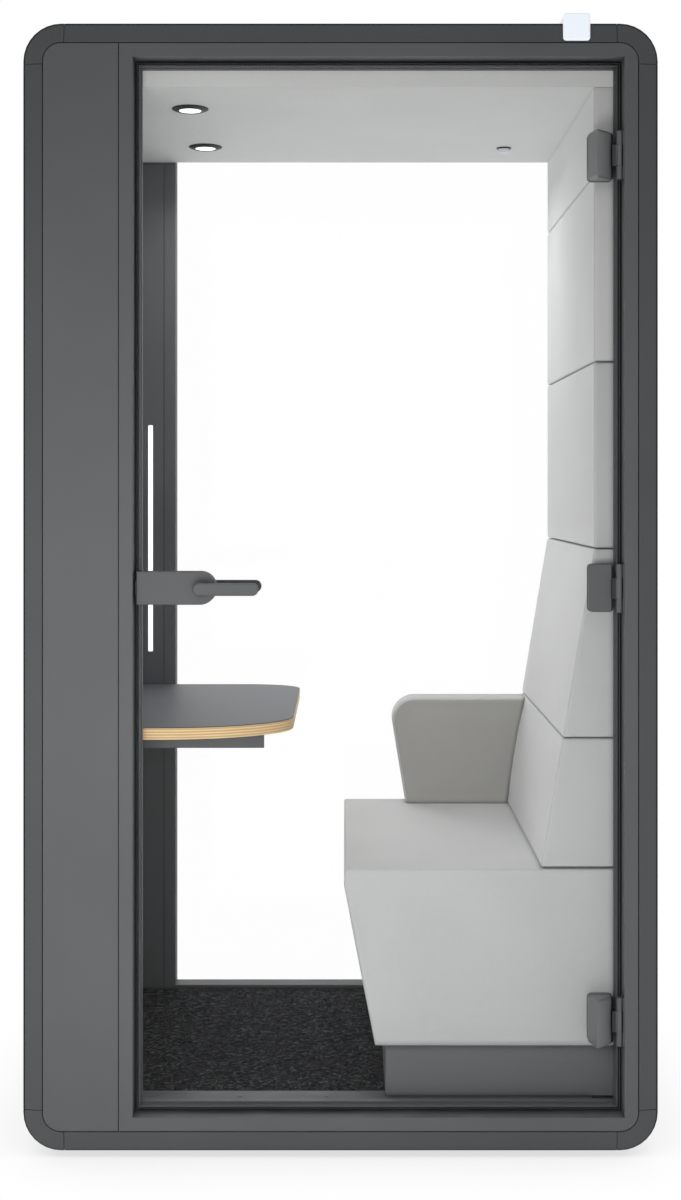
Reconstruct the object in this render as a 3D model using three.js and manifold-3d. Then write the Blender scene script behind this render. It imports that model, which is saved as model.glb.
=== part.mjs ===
// Acoustic office pod for one person: a glazed booth with a seat, a table, lights and a fan.
// Millimetres, +Z up, the door faces -Y.
// Depths are counted from the front face, heights from the shell's underside.
import * as THREE from "three";
import { mergeVertices } from "three/addons/utils/BufferGeometryUtils.js";
import Module from "manifold-3d";

const wasm = await Module();
wasm.setup();

// Clearances
const FIT = 0.3; // between pieces that rest on each other
const SEAM = 0.95; // between neighbouring panels, seen as a thin line
const SEAM_EDGE = 1; // chamfer on both sides of a seam
const PLAY = 0.5; // round a piece that turns or slides

// Shell
const SHELL_W = 1250;
const SHELL_H = 2220;
const SHELL_D = 900;
const FLOOR_GAP = 15; // height of the shell over the floor
const BAND = 38; // width of the bevelled band round both ends
const BAND_FALL = 5; // how far the band slopes back towards its outer edge
const CORNER_R = 75;
const CORNER_LEG = 5; // straight run of a corner profile past its bend
const RAIL_D = 70; // depth of an edge rail
const WALL_RECESS = 3; // outer panels below the face of the rails
const PANEL_BEVEL = 2;

// Door frame, rear window frame and the closed panels beside them
const END_D = 62;
const SIDE_PANEL_W = 150;
const FRAME_FACE = 28; // visible width of a frame member
const STOP_STEP = 12.6; // how far the door stop stands into the opening
const STOP_T = 16;
const STOP_SILL = 3; // lower door stop above the others
const GASKET_W = 9;
const GASKET_LIP = 2;
const REAR_SILL = 15; // rear window sill above the other frame members
const REBATE_W = 12;
const REBATE_D = 14;
const REAR_GLASS_T = 8;
const REAR_GLASS_GAP = 2;

// Door
const GLASS_T = 10;
const GLASS_SET = 26; // glass behind the front face
const GLASS_GAP = 5; // between the glass and the frame
const GLASS_CORNER_R = 6;
const HINGE_GAP = 18; // between the glass and the frame on the hinge side
const HANDLE_Z = 1107;
const HINGE_FOOT = 187; // lowest hinge above the frame opening's lower edge
const HINGE_HEAD = 193; // highest hinge below its upper edge
const HINGE_H = 95;
const HINGE_AXIS_X = 9.5; // hinge pin from the frame opening
const HINGE_AXIS_D = 8; // hinge pin behind the front face
const KNUCKLE_R = 6.6;
const PIN_R = 3.2;
const KNUCKLE_END = 0.28; // share of the hinge height taken by each frame knuckle
const FRAME_LEAF_T = 2;
const FRAME_LEAF_D = 36;
const DOOR_LEAF_W = 49.5;
const DOOR_LEAF_T = 7.7;
const DOOR_LEAF_X = 19.4; // door leaf from the frame opening
const LEAF_CORNER_R = 8;
const WEB_LAP = 4; // overlap of the knuckle's web with the leaf
const CLAMP_T = 5; // plate on the inside of the glass
const BOSS_R = 6; // clamping boss through the glass
const BOSS_Z = 25;
const COVER_RIDGE_X = 37.5; // ridge of the closer cover from the leaf's hinge side
const COVER_SHOULDER_X = 6.5;
const COVER_RIDGE = 46; // height of the ridge above the glass
const COVER_SHOULDER = 16;
const COVER_BEVEL = 5;

// Lock and levers
const LOCK_L = 158;
const LOCK_H = 66;
const LOCK_T = 11.7;
const LOCK_BEVEL = 1.5;
const INNER_LOCK_SET = 10.5; // inner lock plate back from the edge of the glass, clear of the door stop
const LEVER_L = 128;
const LEVER_H = 25;
const LEVER_T = 12;
const LEVER_REACH = 37; // back of the lever from the lock plate
const LEVER_BEVEL = 3;
const LEVER_HUB_X = 128.5; // lever axis from the edge of the lock plate
const NECK_R = 9;
const ROSE_R = 15;
const ROSE_T = 5;
const SPINDLE = 8;
const SPINDLE_GRIP = 22; // length of the spindle inside the inner lever
const SPINDLE_HOLE_R = 6.5;
const GLASS_HOLE_R = 8;
const BOLT_H = 29;
const BOLT_T = 7.5;
const BOLT_L = 40;
const BOLT_OUT = 3.6; // how far the bolt shows past the lock plate
const BOLT_TIP = 2; // bevel at the end of the bolt
const BOLT_TRAVEL = 12;
const BOLT_SET = 2.6; // bolt behind the face of the lock plate
const STRIKE_T = 2;
const STRIKE_H = 62;
const STRIKE_D = 24;

// Floor
const DECK_T = 28;
const CARPET_T = 6;
const THRESHOLD_D = 67.5;
const THRESHOLD_RISE = 1.5;
const FOOT_R = 25;
const FOOT_STEM_R = 6;
const FOOT_STEM_L = 24;
const FOOT_INSET_X = 150;
const FOOT_INSET_D = 150;

// Lining and ceiling
const LINING_T = 79;
const CEILING_SPACE = 73; // from the ceiling's underside to the roof
const CEILING_T = 40;
const TOP_STRIP_H = 176; // short wall pad under the ceiling
const PAD_SEAM = 2; // shadow gap between neighbouring pads
const PAD_EDGE_R = 5;
const PAD_CORNER_R = 5;
const PAD_CROWN = 2.5; // how far the middle of a pad stands proud of its edges
const CHANNEL_H = 5; // half height of a sewn channel in the left wall
const CHANNEL_DEEP = 6;

// Seat, measured from the face of the right wall lining
const SEAT_TOP = 541;
const SEAT_L = 501;
const SEAT_LIP = 34; // upright part of the leading edge
const SEAT_UNDERCUT = 62; // how far the front slopes back below the lip
const SEAT_BOTTOM = 188;
const SEAT_CROWN = 3;
const PLINTH_SET = 22; // plinth behind the seat's lower edge
const PLINTH_INSET = 38;
const BACK_SPLIT = 804; // joint between lower and upper back pad
const BACK_TOP = 1184;
const BACK_FOOT = 107; // how far the back stands out at the seat
const ARM_T = 85;
const ARM_TOP = 800;
const ARM_L = 245; // along the seat, at the foot of the armrest
const ARM_LEAN = 42; // how far the armrest's front leans out
const ARM_R = 55;
const ARM_EDGE_R = 10;
const ARM_BED = 2; // reach of the armrest below the edges of the seat and back

// Table, measured from the face of the left wall lining
const TABLE_TOP = 824;
const TABLE_T = 25;
const TABLE_L = 408;
const TABLE_SIDE_GAP = 8;
const TABLE_STRAIGHT = 138; // straight part of the side towards the door
const TABLE_DOOR_FALL = 175; // how far that side curves back to the free end
const TABLE_BACK_RUN = 130; // length of the curve at the back, and its depth
const TABLE_BACK_FALL = 86;
const TABLE_EDGE = 1;
const SUPPORT_L = 350;
const SUPPORT_TAPER = 45; // how much shorter the support is at the back
const SUPPORT_H = 30;
const SUPPORT_BEVEL = 1.5;
const SUPPORT_SIDE_GAP = 90; // support back from the table's sides

// Lights, sensor and air
const LIGHT_R = 39;
const LIGHT_LENS_R = 24.5;
const LIGHT_CAN_R = 32;
const LIGHT_CAN_H = 34;
const LIGHT_DROP = 5.5;
const LIGHT_LENS_SET = 1; // lens back from the lowest edge
const LIGHT_LIP = 4;
const LIGHT_RIM = 1.6; // thickness of the bezel at its outer edge
const LIGHT_X = 189; // from the left wall lining
const LIGHT_PITCH = 394;
const SENSOR_X = 124; // from the right wall lining
const SENSOR_D = 211; // behind the middle of the cabin
const SENSOR_R = 17.5;
const SENSOR_DOME_R = 12.5;
const SENSOR_DROP = 14.6;
const SENSOR_RING = 3; // thickness of the flange
const SENSOR_STEM_R = 13;
const SENSOR_STEM_H = 20;
const STRIP_W = 11;
const STRIP_H = 557;
const STRIP_Z = 904;
const STRIP_X = 111; // from the shell's inner face
const STRIP_DEEP = 9;
const STRIP_PROUD = 2;
const BEACON_W = 53;
const BEACON_H = 54;
const BEACON_D = 65;
const BEACON_RISE = 19; // above the roof
const BEACON_FRONT = 5; // in front of the front face
const BEACON_X = 96; // from the shell's inner face
const BEACON_BEVEL = 3;
const AIR_SLOT_W = 20;
const AIR_SLOT_EDGE = 6; // slot from the left wall lining
const AIR_SLOT_INSET = 58; // slot from the ends of the ceiling
const FAN = 120;
const FAN_H = 29;
const FAN_X = 48; // housing from the left wall lining
const FAN_BORE_R = 56;
const FAN_HUB_R = 20;
const FAN_TIP_GAP = 2;
const FAN_BLADES = 7;
const FAN_STRUTS = 4;
const FAN_STRUT = 6;
const FAN_PLATE_T = 4;
const FAN_SHAFT_R = 4;
const FAN_BLADE_T = 2;
const FAN_BLADE_H = 16;
const FAN_TWIST = 0.5; // radians that a blade sweeps round the hub
const VENT_SLOT_W = 7;
const VENT_PITCH = 14;
const VENT_R = 54;

// Places worked out from the sizes above
const HALF_W = SHELL_W / 2;
const IN_X = HALF_W - BAND; // inner face of the shell's sides
const IN_TOP = SHELL_H - BAND;
const IN_R = CORNER_R - BAND;
const SEAM_AT = CORNER_R + CORNER_LEG;
const MID_D = SHELL_D / 2;
const FRAME_X0 = SIDE_PANEL_W - IN_X;
const OPEN = {
  x0: FRAME_X0 + FRAME_FACE, x1: IN_X - FRAME_FACE, z0: BAND + FRAME_FACE, z1: IN_TOP - FRAME_FACE };
const STOP_D = END_D - STOP_T;
const GLASS_BACK = GLASS_SET + GLASS_T;
const GLASS = {
  x0: OPEN.x0 + GLASS_GAP, x1: OPEN.x1 - HINGE_GAP, z0: OPEN.z0 + GLASS_GAP, z1: OPEN.z1 - GLASS_GAP };
const HINGE_X = OPEN.x1 - HINGE_AXIS_X;
const LEAF_X1 = OPEN.x1 - DOOR_LEAF_X;
const LEAF_X0 = LEAF_X1 - DOOR_LEAF_W;
const LOCK_FRONT = GLASS_SET - FIT - LOCK_T;
const LEVER_X = GLASS.x0 + LEVER_HUB_X;
const LINING_X = IN_X - LINING_T;
const ROOM_D0 = END_D + FIT; // front end of the linings
const ROOM_D1 = SHELL_D - END_D - FIT;
const DECK_TOP = BAND + DECK_T;
const CARPET_TOP = DECK_TOP + FIT + CARPET_T;
const THRESHOLD_TOP = CARPET_TOP + THRESHOLD_RISE;
const CEILING_Z = IN_TOP - CEILING_SPACE;
const STRIP_BASE = CEILING_Z - TOP_STRIP_H;
const SEAT_X0 = LINING_X - SEAT_L;
const SEAT_HIGH = SEAT_TOP + SEAT_CROWN; // middle of the crowned seat
const BACK_SLOPE = BACK_FOOT / (BACK_TOP - SEAT_TOP);
const TABLE_X0 = FIT - LINING_X;
const TABLE_X1 = TABLE_L - LINING_X;
const TABLE_HALF = (ROOM_D1 - ROOM_D0) / 2 - TABLE_SIDE_GAP;
const FAN_CX = FAN_X + FAN / 2 - LINING_X;
const FAN_Z = CEILING_Z + CEILING_T + FIT;
const LEVER_FRONT = LOCK_FRONT - LEVER_REACH - LEVER_T; // foremost depth of the whole pod
const CENTRE_D = (SHELL_D + LEVER_FRONT) / 2;

// Finishes
const finish = (color, roughness, metalness = 0) =>
  new THREE.MeshStandardMaterial({ color, roughness, metalness });
const GRAPHITE = finish(0x616365, 0.55, 0.3);
const STEEL = finish(0x6b6c6d, 0.4, 0.6);
const SILL = finish(0x9a9b9b, 0.4, 0.7);
const FABRIC = finish(0xcdcfce, 0.95);
const CARPET = finish(0x35363a, 1);
const PLY = finish(0xdcb883, 0.6);
const RUBBER = finish(0x1c1d1e, 0.8);
const BLACK = finish(0x26272a, 0.6);
const WHITE = finish(0xf2f4f6, 0.4);
const CLEAR = finish(0xe8f0f0, 0.05);
Object.assign(CLEAR, { transparent: true, opacity: 0.25 });

// Solids: a closed geometry becomes a body that can be joined and cut
function toSolid(geometry) {
  const bare = new THREE.BufferGeometry();
  bare.setAttribute("position", geometry.getAttribute("position").clone());
  if (geometry.index) bare.setIndex(geometry.index.clone());
  const merged = mergeVertices(bare, 1e-4);
  const vertProperties = new Float32Array(merged.attributes.position.array);
  const triVerts = new Uint32Array(merged.index.array);
  return new wasm.Manifold(new wasm.Mesh({ numProp: 3, vertProperties, triVerts }));
}

function toGeometry(solid) {
  const mesh = solid.getMesh();
  return new THREE.BufferGeometry()
    .setAttribute("position", new THREE.BufferAttribute(mesh.vertProperties, 3))
    .setIndex(new THREE.BufferAttribute(mesh.triVerts, 1));
}

const join = (...pieces) => toGeometry(pieces.map(toSolid).reduce((a, b) => a.add(b)));
const cut = (body, ...tools) => toGeometry(tools.map(toSolid).reduce((a, b) => a.subtract(b), toSolid(body)));

function box(x0, x1, y0, y1, z0, z1) {
  const geometry = new THREE.BoxGeometry(x1 - x0, y1 - y0, z1 - z0);
  return geometry.translate((x0 + x1) / 2, (y0 + y1) / 2, (z0 + z1) / 2);
}

// A rectangle with its own radius at each corner: lower left, lower right, upper right, upper left.
function roundedRect(x0, x1, y0, y1, radii, outline = new THREE.Shape()) {
  const [a, b, c, d] = Array.isArray(radii) ? radii : [radii, radii, radii, radii];
  outline.moveTo(x0 + a, y0).lineTo(x1 - b, y0);
  if (b) outline.absarc(x1 - b, y0 + b, b, -Math.PI / 2, 0);
  outline.lineTo(x1, y1 - c);
  if (c) outline.absarc(x1 - c, y1 - c, c, 0, Math.PI / 2);
  outline.lineTo(x0 + d, y1);
  if (d) outline.absarc(x0 + d, y1 - d, d, Math.PI / 2, Math.PI);
  outline.lineTo(x0, y0 + a);
  if (a) outline.absarc(x0 + a, y0 + a, a, Math.PI, Math.PI * 1.5);
  return outline;
}

const hole = (...place) => roundedRect(...place, new THREE.Path());
const roundHole = (x, y, r) => new THREE.Path().absarc(x, y, r, 0, Math.PI * 2);

// A shape drawn out to a depth, with an edge bevel that stays inside its outline.
function drawn(shape, depth, bevel = 0, curveSegments = 5, bevelSegments = 1) {
  const options = { depth: depth - 2 * bevel, bevelEnabled: bevel > 0, curveSegments, bevelSegments };
  Object.assign(options, { bevelSize: bevel, bevelThickness: bevel, bevelOffset: -bevel });
  return new THREE.ExtrudeGeometry(shape, options).translate(0, 0, bevel);
}

const alongZ = (shape, z0, z1, ...rest) => drawn(shape, z1 - z0, ...rest).translate(0, 0, z0);
const alongY = (shape, y0, y1, ...rest) =>
  drawn(shape, y1 - y0, ...rest).rotateX(Math.PI / 2).translate(0, y1, 0);
const TO_X = new THREE.Matrix4().makeBasis(
  new THREE.Vector3(0, 1, 0), new THREE.Vector3(0, 0, 1), new THREE.Vector3(1, 0, 0));
const alongX = (shape, x0, x1, ...rest) =>
  drawn(shape, x1 - x0, ...rest).applyMatrix4(TO_X).translate(x0, 0, 0);

function rod(x, z, r, y0, y1, sides = 20) {
  return new THREE.CylinderGeometry(r, r, y1 - y0, sides).translate(x, (y0 + y1) / 2, z);
}

function post(x, y, r, z0, z1, sides = 20) {
  return new THREE.CylinderGeometry(r, r, z1 - z0, sides).rotateX(Math.PI / 2).translate(x, y, (z0 + z1) / 2);
}

// A body of revolution about Z from points of radius and height.
function turned(points, sides) {
  const profile = points.map(([r, z]) => new THREE.Vector2(r, z));
  return new THREE.LatheGeometry(profile, sides).rotateX(Math.PI / 2);
}

// A closed body through rings of points that each bound a convex face.
function loft(rings) {
  const count = rings[0].length;
  const points = rings.flat();
  const last = (rings.length - 1) * count;
  const index = [];
  for (let r = 0; r + 1 < rings.length; r++) {
    for (let i = 0; i < count; i++) {
      const a = r * count + i;
      const b = r * count + ((i + 1) % count);
      index.push(a, b, b + count, a, b + count, a + count);
    }
  }
  for (let i = 1; i + 1 < count; i++) index.push(0, i + 1, i, last, last + i, last + i + 1);
  let volume = 0;
  const normal = new THREE.Vector3();
  for (let i = 0; i < index.length; i += 3) {
    normal.crossVectors(points[index[i + 1]], points[index[i + 2]]);
    volume += points[index[i]].dot(normal);
  }
  if (volume < 0) index.reverse();
  return new THREE.BufferGeometry().setFromPoints(points).setIndex(index);
}

// Shell: a profile of inward offset and depth, carried along stations of a point and its outward direction
function carried(profile, stations) {
  return loft(stations.map(([x, z, outX, outZ]) =>
    profile.map(([inward, d]) => new THREE.Vector3(x - outX * inward, d, z - outZ * inward))));
}

const BAND_FACE = [[BAND, SEAM_EDGE], [BAND - SEAM_EDGE, 0], [0, BAND_FALL]];
const FRONT_RAIL = [...BAND_FACE, [0, RAIL_D], [BAND, RAIL_D]];
const mirrored = (profile) => profile.map(([inward, d]) => [inward, SHELL_D - d]);
const REAR_RAIL = mirrored(FRONT_RAIL);
const CORNER_PROFILE = [...BAND_FACE, ...mirrored(BAND_FACE).reverse()];

function cornerProfile(sideX, atTop) {
  const bends = 8;
  const upZ = atTop ? 1 : -1;
  const cx = sideX * (HALF_W - CORNER_R);
  const cz = atTop ? SHELL_H - CORNER_R : CORNER_R;
  const stations = [[cx + sideX * CORNER_R, cz - upZ * CORNER_LEG, sideX, 0]];
  for (let i = 0; i <= bends; i++) {
    const a = (i / bends) * (Math.PI / 2);
    const [outX, outZ] = [sideX * Math.cos(a), upZ * Math.sin(a)];
    stations.push([cx + outX * CORNER_R, cz + outZ * CORNER_R, outX, outZ]);
  }
  stations.push([cx - sideX * CORNER_LEG, cz + upZ * CORNER_R, 0, upZ]);
  return carried(CORNER_PROFILE, stations);
}

function sideRail(profile, sideX) {
  const ends = [SEAM_AT + SEAM, SHELL_H - SEAM_AT - SEAM];
  return carried(profile, ends.map((z) => [sideX * HALF_W, z, sideX, 0]));
}

function crossRail(profile, atTop) {
  const end = HALF_W - SEAM_AT - SEAM;
  return carried(profile, [-end, end].map((x) => [x, atTop ? SHELL_H : 0, 0, atTop ? 1 : -1]));
}

const PANEL_D0 = RAIL_D + SEAM;
const PANEL_D1 = SHELL_D - RAIL_D - SEAM;
const PANEL_X = HALF_W - SEAM_AT - SEAM;

function outerWall(sideX) {
  const face = roundedRect(PANEL_D0, PANEL_D1, SEAM_AT + SEAM, SHELL_H - SEAM_AT - SEAM, 0);
  const outside = HALF_W - WALL_RECESS;
  return sideX > 0 ? alongX(face, IN_X, outside, PANEL_BEVEL) : alongX(face, -outside, -IN_X, PANEL_BEVEL);
}

// The roof has a round field of slots over the fan.
function roofPanel() {
  const slab = roundedRect(-PANEL_X, PANEL_X, PANEL_D0, PANEL_D1, 0);
  const half = VENT_SLOT_W / 2;
  const rows = Math.floor((VENT_R - VENT_SLOT_W) / VENT_PITCH);
  for (let row = -rows; row <= rows; row++) {
    const y = MID_D + row * VENT_PITCH;
    const reach = Math.sqrt(VENT_R ** 2 - (row * VENT_PITCH) ** 2);
    slab.holes.push(hole(FAN_CX - reach, FAN_CX + reach, y - half, y + half, half));
  }
  return alongZ(slab, IN_TOP, SHELL_H - WALL_RECESS, 0, 3);
}

const FOOT_PLACES = [-1, 1].flatMap((side) => [FOOT_INSET_D, SHELL_D - FOOT_INSET_D].map((d) =>
  [side * (HALF_W - FOOT_INSET_X), d]));

// The base slab between the bottom rails carries a deck that laps over them.
function basePanel() {
  const slab = box(-PANEL_X, PANEL_X, PANEL_D0, PANEL_D1, 0, BAND + FIT);
  const deckX = IN_X - IN_R - FIT;
  const deck = box(-deckX, deckX, ROOM_D0, ROOM_D1, BAND + FIT, DECK_TOP);
  const sockets = FOOT_PLACES.map(([x, d]) => post(x, d, FOOT_STEM_R + FIT, -1, FOOT_STEM_L + FIT, 16));
  return cut(join(slab, deck), ...sockets);
}

function foot([x, d]) {
  const rim = FLOOR_GAP * 0.45;
  const profile = [[0, -FLOOR_GAP], [FOOT_R, -FLOOR_GAP], [FOOT_R, -rim], [FOOT_STEM_R * 1.6, -FIT],
    [FOOT_STEM_R, -FIT], [FOOT_STEM_R, FOOT_STEM_L], [0, FOOT_STEM_L]];
  return turned(profile, 20).translate(x, d, 0);
}

// Ends: closed side panels, door frame and rear window
function sidePanel(d0, d1) {
  const r = IN_R - SEAM;
  const face = roundedRect(SEAM - IN_X, FRAME_X0 - SEAM / 2, BAND + SEAM, IN_TOP - SEAM, [r, 0, 0, r]);
  return alongY(face, d0, d1, SEAM_EDGE);
}

function rearSidePanel() {
  const [x0, d0] = [STRIP_X - IN_X, SHELL_D - END_D];
  const channel = box(x0 - FIT, x0 + STRIP_W + FIT, d0 - 1, d0 + STRIP_DEEP + FIT, STRIP_Z - FIT,
    STRIP_Z + STRIP_H + FIT);
  return cut(sidePanel(d0, SHELL_D), channel);
}

function lightStrip() {
  const d0 = SHELL_D - END_D - STRIP_PROUD;
  const x0 = STRIP_X - IN_X;
  const face = roundedRect(x0, x0 + STRIP_W, STRIP_Z, STRIP_Z + STRIP_H, 2);
  return alongY(face, d0, d0 + STRIP_PROUD + STRIP_DEEP, 0.8, 2);
}

// A frame outline that follows the rounded right-hand corners of the band, with a square opening.
function frameRing(x0, x1, z0, z1) {
  const r = IN_R - SEAM;
  const ring = roundedRect(FRAME_X0 + SEAM / 2, IN_X - SEAM, BAND + SEAM, IN_TOP - SEAM, [0, r, r, 0]);
  ring.holes.push(hole(x0, x1, z0, z1, 0));
  return ring;
}

const STOP = {
  x0: OPEN.x0 + STOP_STEP, x1: OPEN.x1 - STOP_STEP,
  z0: OPEN.z0 + STOP_STEP + STOP_SILL, z1: OPEN.z1 - STOP_STEP };

// The reveal's rear chamfer lies inside the stop.
function doorFrame() {
  const reveal = alongY(frameRing(OPEN.x0, OPEN.x1, OPEN.z0, OPEN.z1), 0, STOP_D + 2 * SEAM_EDGE, SEAM_EDGE);
  const stop = alongY(frameRing(STOP.x0, STOP.x1, STOP.z0, STOP.z1), STOP_D, END_D);
  const half = STRIKE_H / 2 + FIT;
  const pocket = box(OPEN.x0 - STRIKE_T - 2 * FIT, OPEN.x0 + 1, BOLT_MID_D - STRIKE_D / 2 - FIT,
    BOLT_MID_D + STRIKE_D / 2 + FIT, HANDLE_Z - half, HANDLE_Z + half);
  return cut(join(reveal, stop), pocket);
}

function doorGasket() {
  const edge = STOP_STEP - 1 - GASKET_W;
  const outer = roundedRect(OPEN.x0 + edge, OPEN.x1 - edge, OPEN.z0 + edge, OPEN.z1 - edge, 4);
  const inset = edge + GASKET_W;
  outer.holes.push(hole(OPEN.x0 + inset, OPEN.x1 - inset, OPEN.z0 + inset, OPEN.z1 - inset, 1));
  return alongY(outer, GLASS_BACK + FIT, STOP_D - FIT, GASKET_LIP, 2);
}

function rearWindowFrame() {
  const sill = OPEN.z0 + REAR_SILL;
  const rebate = SHELL_D - REBATE_D;
  const inner = alongY(frameRing(OPEN.x0, OPEN.x1, sill, OPEN.z1), SHELL_D - END_D, rebate);
  const outer = frameRing(OPEN.x0 - REBATE_W, OPEN.x1 + REBATE_W, sill - REBATE_W, OPEN.z1 + REBATE_W);
  return join(inner, alongY(outer, rebate, SHELL_D));
}

function rearGlass() {
  const grow = REBATE_W - REAR_GLASS_GAP;
  const pane = roundedRect(OPEN.x0 - grow, OPEN.x1 + grow, OPEN.z0 + REAR_SILL - grow, OPEN.z1 + grow, 2);
  const d0 = SHELL_D - REBATE_D + FIT;
  return alongY(pane, d0, d0 + REAR_GLASS_T, 1, 2);
}

// Floor covering
function threshold() {
  const section = roundedRect(ROOM_D0, ROOM_D0 + THRESHOLD_D, DECK_TOP + FIT, THRESHOLD_TOP, [0, 0, 3, 0]);
  return alongX(section, FRAME_X0 + SEAM, LINING_X - FIT);
}

function carpet() {
  const d0 = ROOM_D0 + THRESHOLD_D + FIT;
  return box(FIT - LINING_X, LINING_X - FIT, d0, ROOM_D1, DECK_TOP + FIT, CARPET_TOP);
}

// Upholstery: rings of a rounded rectangle rise over a soft edge to a crowned face
function ringPoints(u0, u1, v0, v1, r) {
  const steps = 2;
  const corners = [[u1 - r, v0 + r, -1], [u1 - r, v1 - r, 0], [u0 + r, v1 - r, 1], [u0 + r, v0 + r, 2]];
  return corners.flatMap(([cu, cv, quarter]) => Array.from({ length: steps + 1 }, (_, i) => {
    const a = (quarter + i / steps) * (Math.PI / 2);
    return [cu + r * Math.cos(a), cv + r * Math.sin(a)];
  }));
}

// Inset and height below the crown of each ring, from the side of a pad to the middle of its face.
function padRings(halfShort, crown) {
  const edge = [0, 0.25, 0.5, 0.75, 1].map((share) => {
    const a = share * (Math.PI / 2);
    return [PAD_EDGE_R * (1 - Math.cos(a)), PAD_EDGE_R * (1 - Math.sin(a)) + crown];
  });
  const face = [0.2, 0.5, 0.9].map((share) => {
    const rise = Math.sin(share * (Math.PI / 2));
    return [PAD_EDGE_R + share * (halfShort - PAD_EDGE_R), crown * (1 - rise)];
  });
  return [...edge, ...face];
}

// A pad on the right wall between two heights. The face stands at an x that may change with height.
// Grown on all sides, the same pad makes room for a piece that lies against it.
function wallPad(z0, z1, faceX, grow = 0) {
  const [lowest, highest] = [z0 + PAD_SEAM / 2 - grow, z1 - PAD_SEAM / 2 + grow];
  const [y0, y1] = [ROOM_D0 - grow, ROOM_D1 + grow];
  const place = (x) => ([y, z]) => new THREE.Vector3(x(z), y, z);
  const outline = (inset) =>
    ringPoints(y0 + inset, y1 - inset, lowest + inset, highest - inset, PAD_CORNER_R);
  const back = outline(0).map(place(() => IN_X - FIT));
  const rings = padRings((highest - lowest) / 2, PAD_CROWN);
  const front = (below) => place((z) => faceX(z) - PAD_CROWN + below - grow);
  return loft([back, ...rings.map(([inset, below]) => outline(inset).map(front(below)))]);
}

const flatFace = () => LINING_X;
const backFace = (z) => LINING_X - (BACK_TOP - z) * BACK_SLOPE;

function seat(grow = 0) {
  const [x1, y0, y1] = [IN_X - FIT, ROOM_D0 - grow, ROOM_D1 + grow];
  const level = (x0, z, inset = 0) =>
    ringPoints(x0 - grow + inset, x1 - inset, y0 + inset, y1 - inset, PAD_CORNER_R)
      .map(([x, y]) => new THREE.Vector3(x, y, z + grow));
  const lip = SEAT_TOP - SEAT_LIP;
  const lower = [level(SEAT_X0 + SEAT_UNDERCUT, SEAT_BOTTOM), level(SEAT_X0, lip)];
  const top = padRings((x1 - SEAT_X0) / 2, SEAT_CROWN);
  return loft([...lower, ...top.map(([inset, below]) => level(SEAT_X0, SEAT_HIGH - below, inset))]);
}

// The armrest beds on the crowned seat and back pad. Its arc touches the leaning front and the level top.
function armrest() {
  const foot = SEAT_TOP - ARM_BED;
  const backAt = (z) => backFace(z) + ARM_BED;
  const lean = Math.atan2(ARM_LEAN, ARM_TOP - SEAT_TOP);
  const frontAt = (z) => backFace(SEAT_TOP) - ARM_L - (z - SEAT_TOP) * Math.tan(lean);
  const arcX = frontAt(ARM_TOP) + ARM_R * Math.tan(Math.PI / 4 + lean / 2);
  const side = new THREE.Shape().moveTo(frontAt(foot), foot).lineTo(backAt(foot), foot);
  side.lineTo(backAt(ARM_TOP), ARM_TOP).lineTo(arcX, ARM_TOP);
  side.absarc(arcX, ARM_TOP - ARM_R, ARM_R, Math.PI / 2, Math.PI + lean).closePath();
  const arm = alongY(side, ROOM_D1 - ARM_T, ROOM_D1, ARM_EDGE_R, 10, 3);
  return cut(arm, seat(FIT), wallPad(SEAT_HIGH, BACK_SPLIT, backFace, FIT));
}

function plinth() {
  const x0 = SEAT_X0 + SEAT_UNDERCUT + PLINTH_SET;
  const base = THRESHOLD_TOP + FIT;
  return box(x0, IN_X - SEAM, END_D + PLINTH_INSET, SHELL_D - END_D - PLINTH_INSET, base, SEAT_BOTTOM - FIT);
}

// The left wall is one padded lining with sewn channels in line with the joints of the right wall.
function leftLining() {
  const [base, top] = [SEAM_AT, CEILING_Z - FIT];
  const module = (STRIP_BASE - BACK_TOP) / 2;
  const side = new THREE.Shape().moveTo(-IN_X + FIT, base).lineTo(-LINING_X, base);
  const seams = [];
  for (let z = STRIP_BASE; z > base + module / 2; z -= module) seams.unshift(z);
  for (const z of seams) {
    side.lineTo(-LINING_X, z - CHANNEL_H).lineTo(-LINING_X - CHANNEL_DEEP, z);
    side.lineTo(-LINING_X, z + CHANNEL_H);
  }
  side.lineTo(-LINING_X, top).lineTo(-IN_X + FIT, top).closePath();
  return alongY(side, ROOM_D0, ROOM_D1);
}

const LIGHT_PLACES = [-1, 1].map((side) => [LIGHT_X - LINING_X, MID_D + (side * LIGHT_PITCH) / 2]);
const SENSOR_PLACE = [LINING_X - SENSOR_X, MID_D + SENSOR_D];

function ceilingPanel() {
  const x = IN_X - 2 * SEAM;
  const panel = roundedRect(-x, x, ROOM_D0, ROOM_D1, 0);
  const slot = AIR_SLOT_EDGE - LINING_X;
  const r = AIR_SLOT_W / 2;
  panel.holes.push(hole(slot, slot + AIR_SLOT_W, ROOM_D0 + AIR_SLOT_INSET, ROOM_D1 - AIR_SLOT_INSET, r));
  for (const [lx, ld] of LIGHT_PLACES) panel.holes.push(roundHole(lx, ld, LIGHT_CAN_R + PLAY));
  panel.holes.push(roundHole(...SENSOR_PLACE, SENSOR_STEM_R + PLAY));
  return alongZ(panel, CEILING_Z, CEILING_Z + CEILING_T, 0, 14);
}

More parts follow.
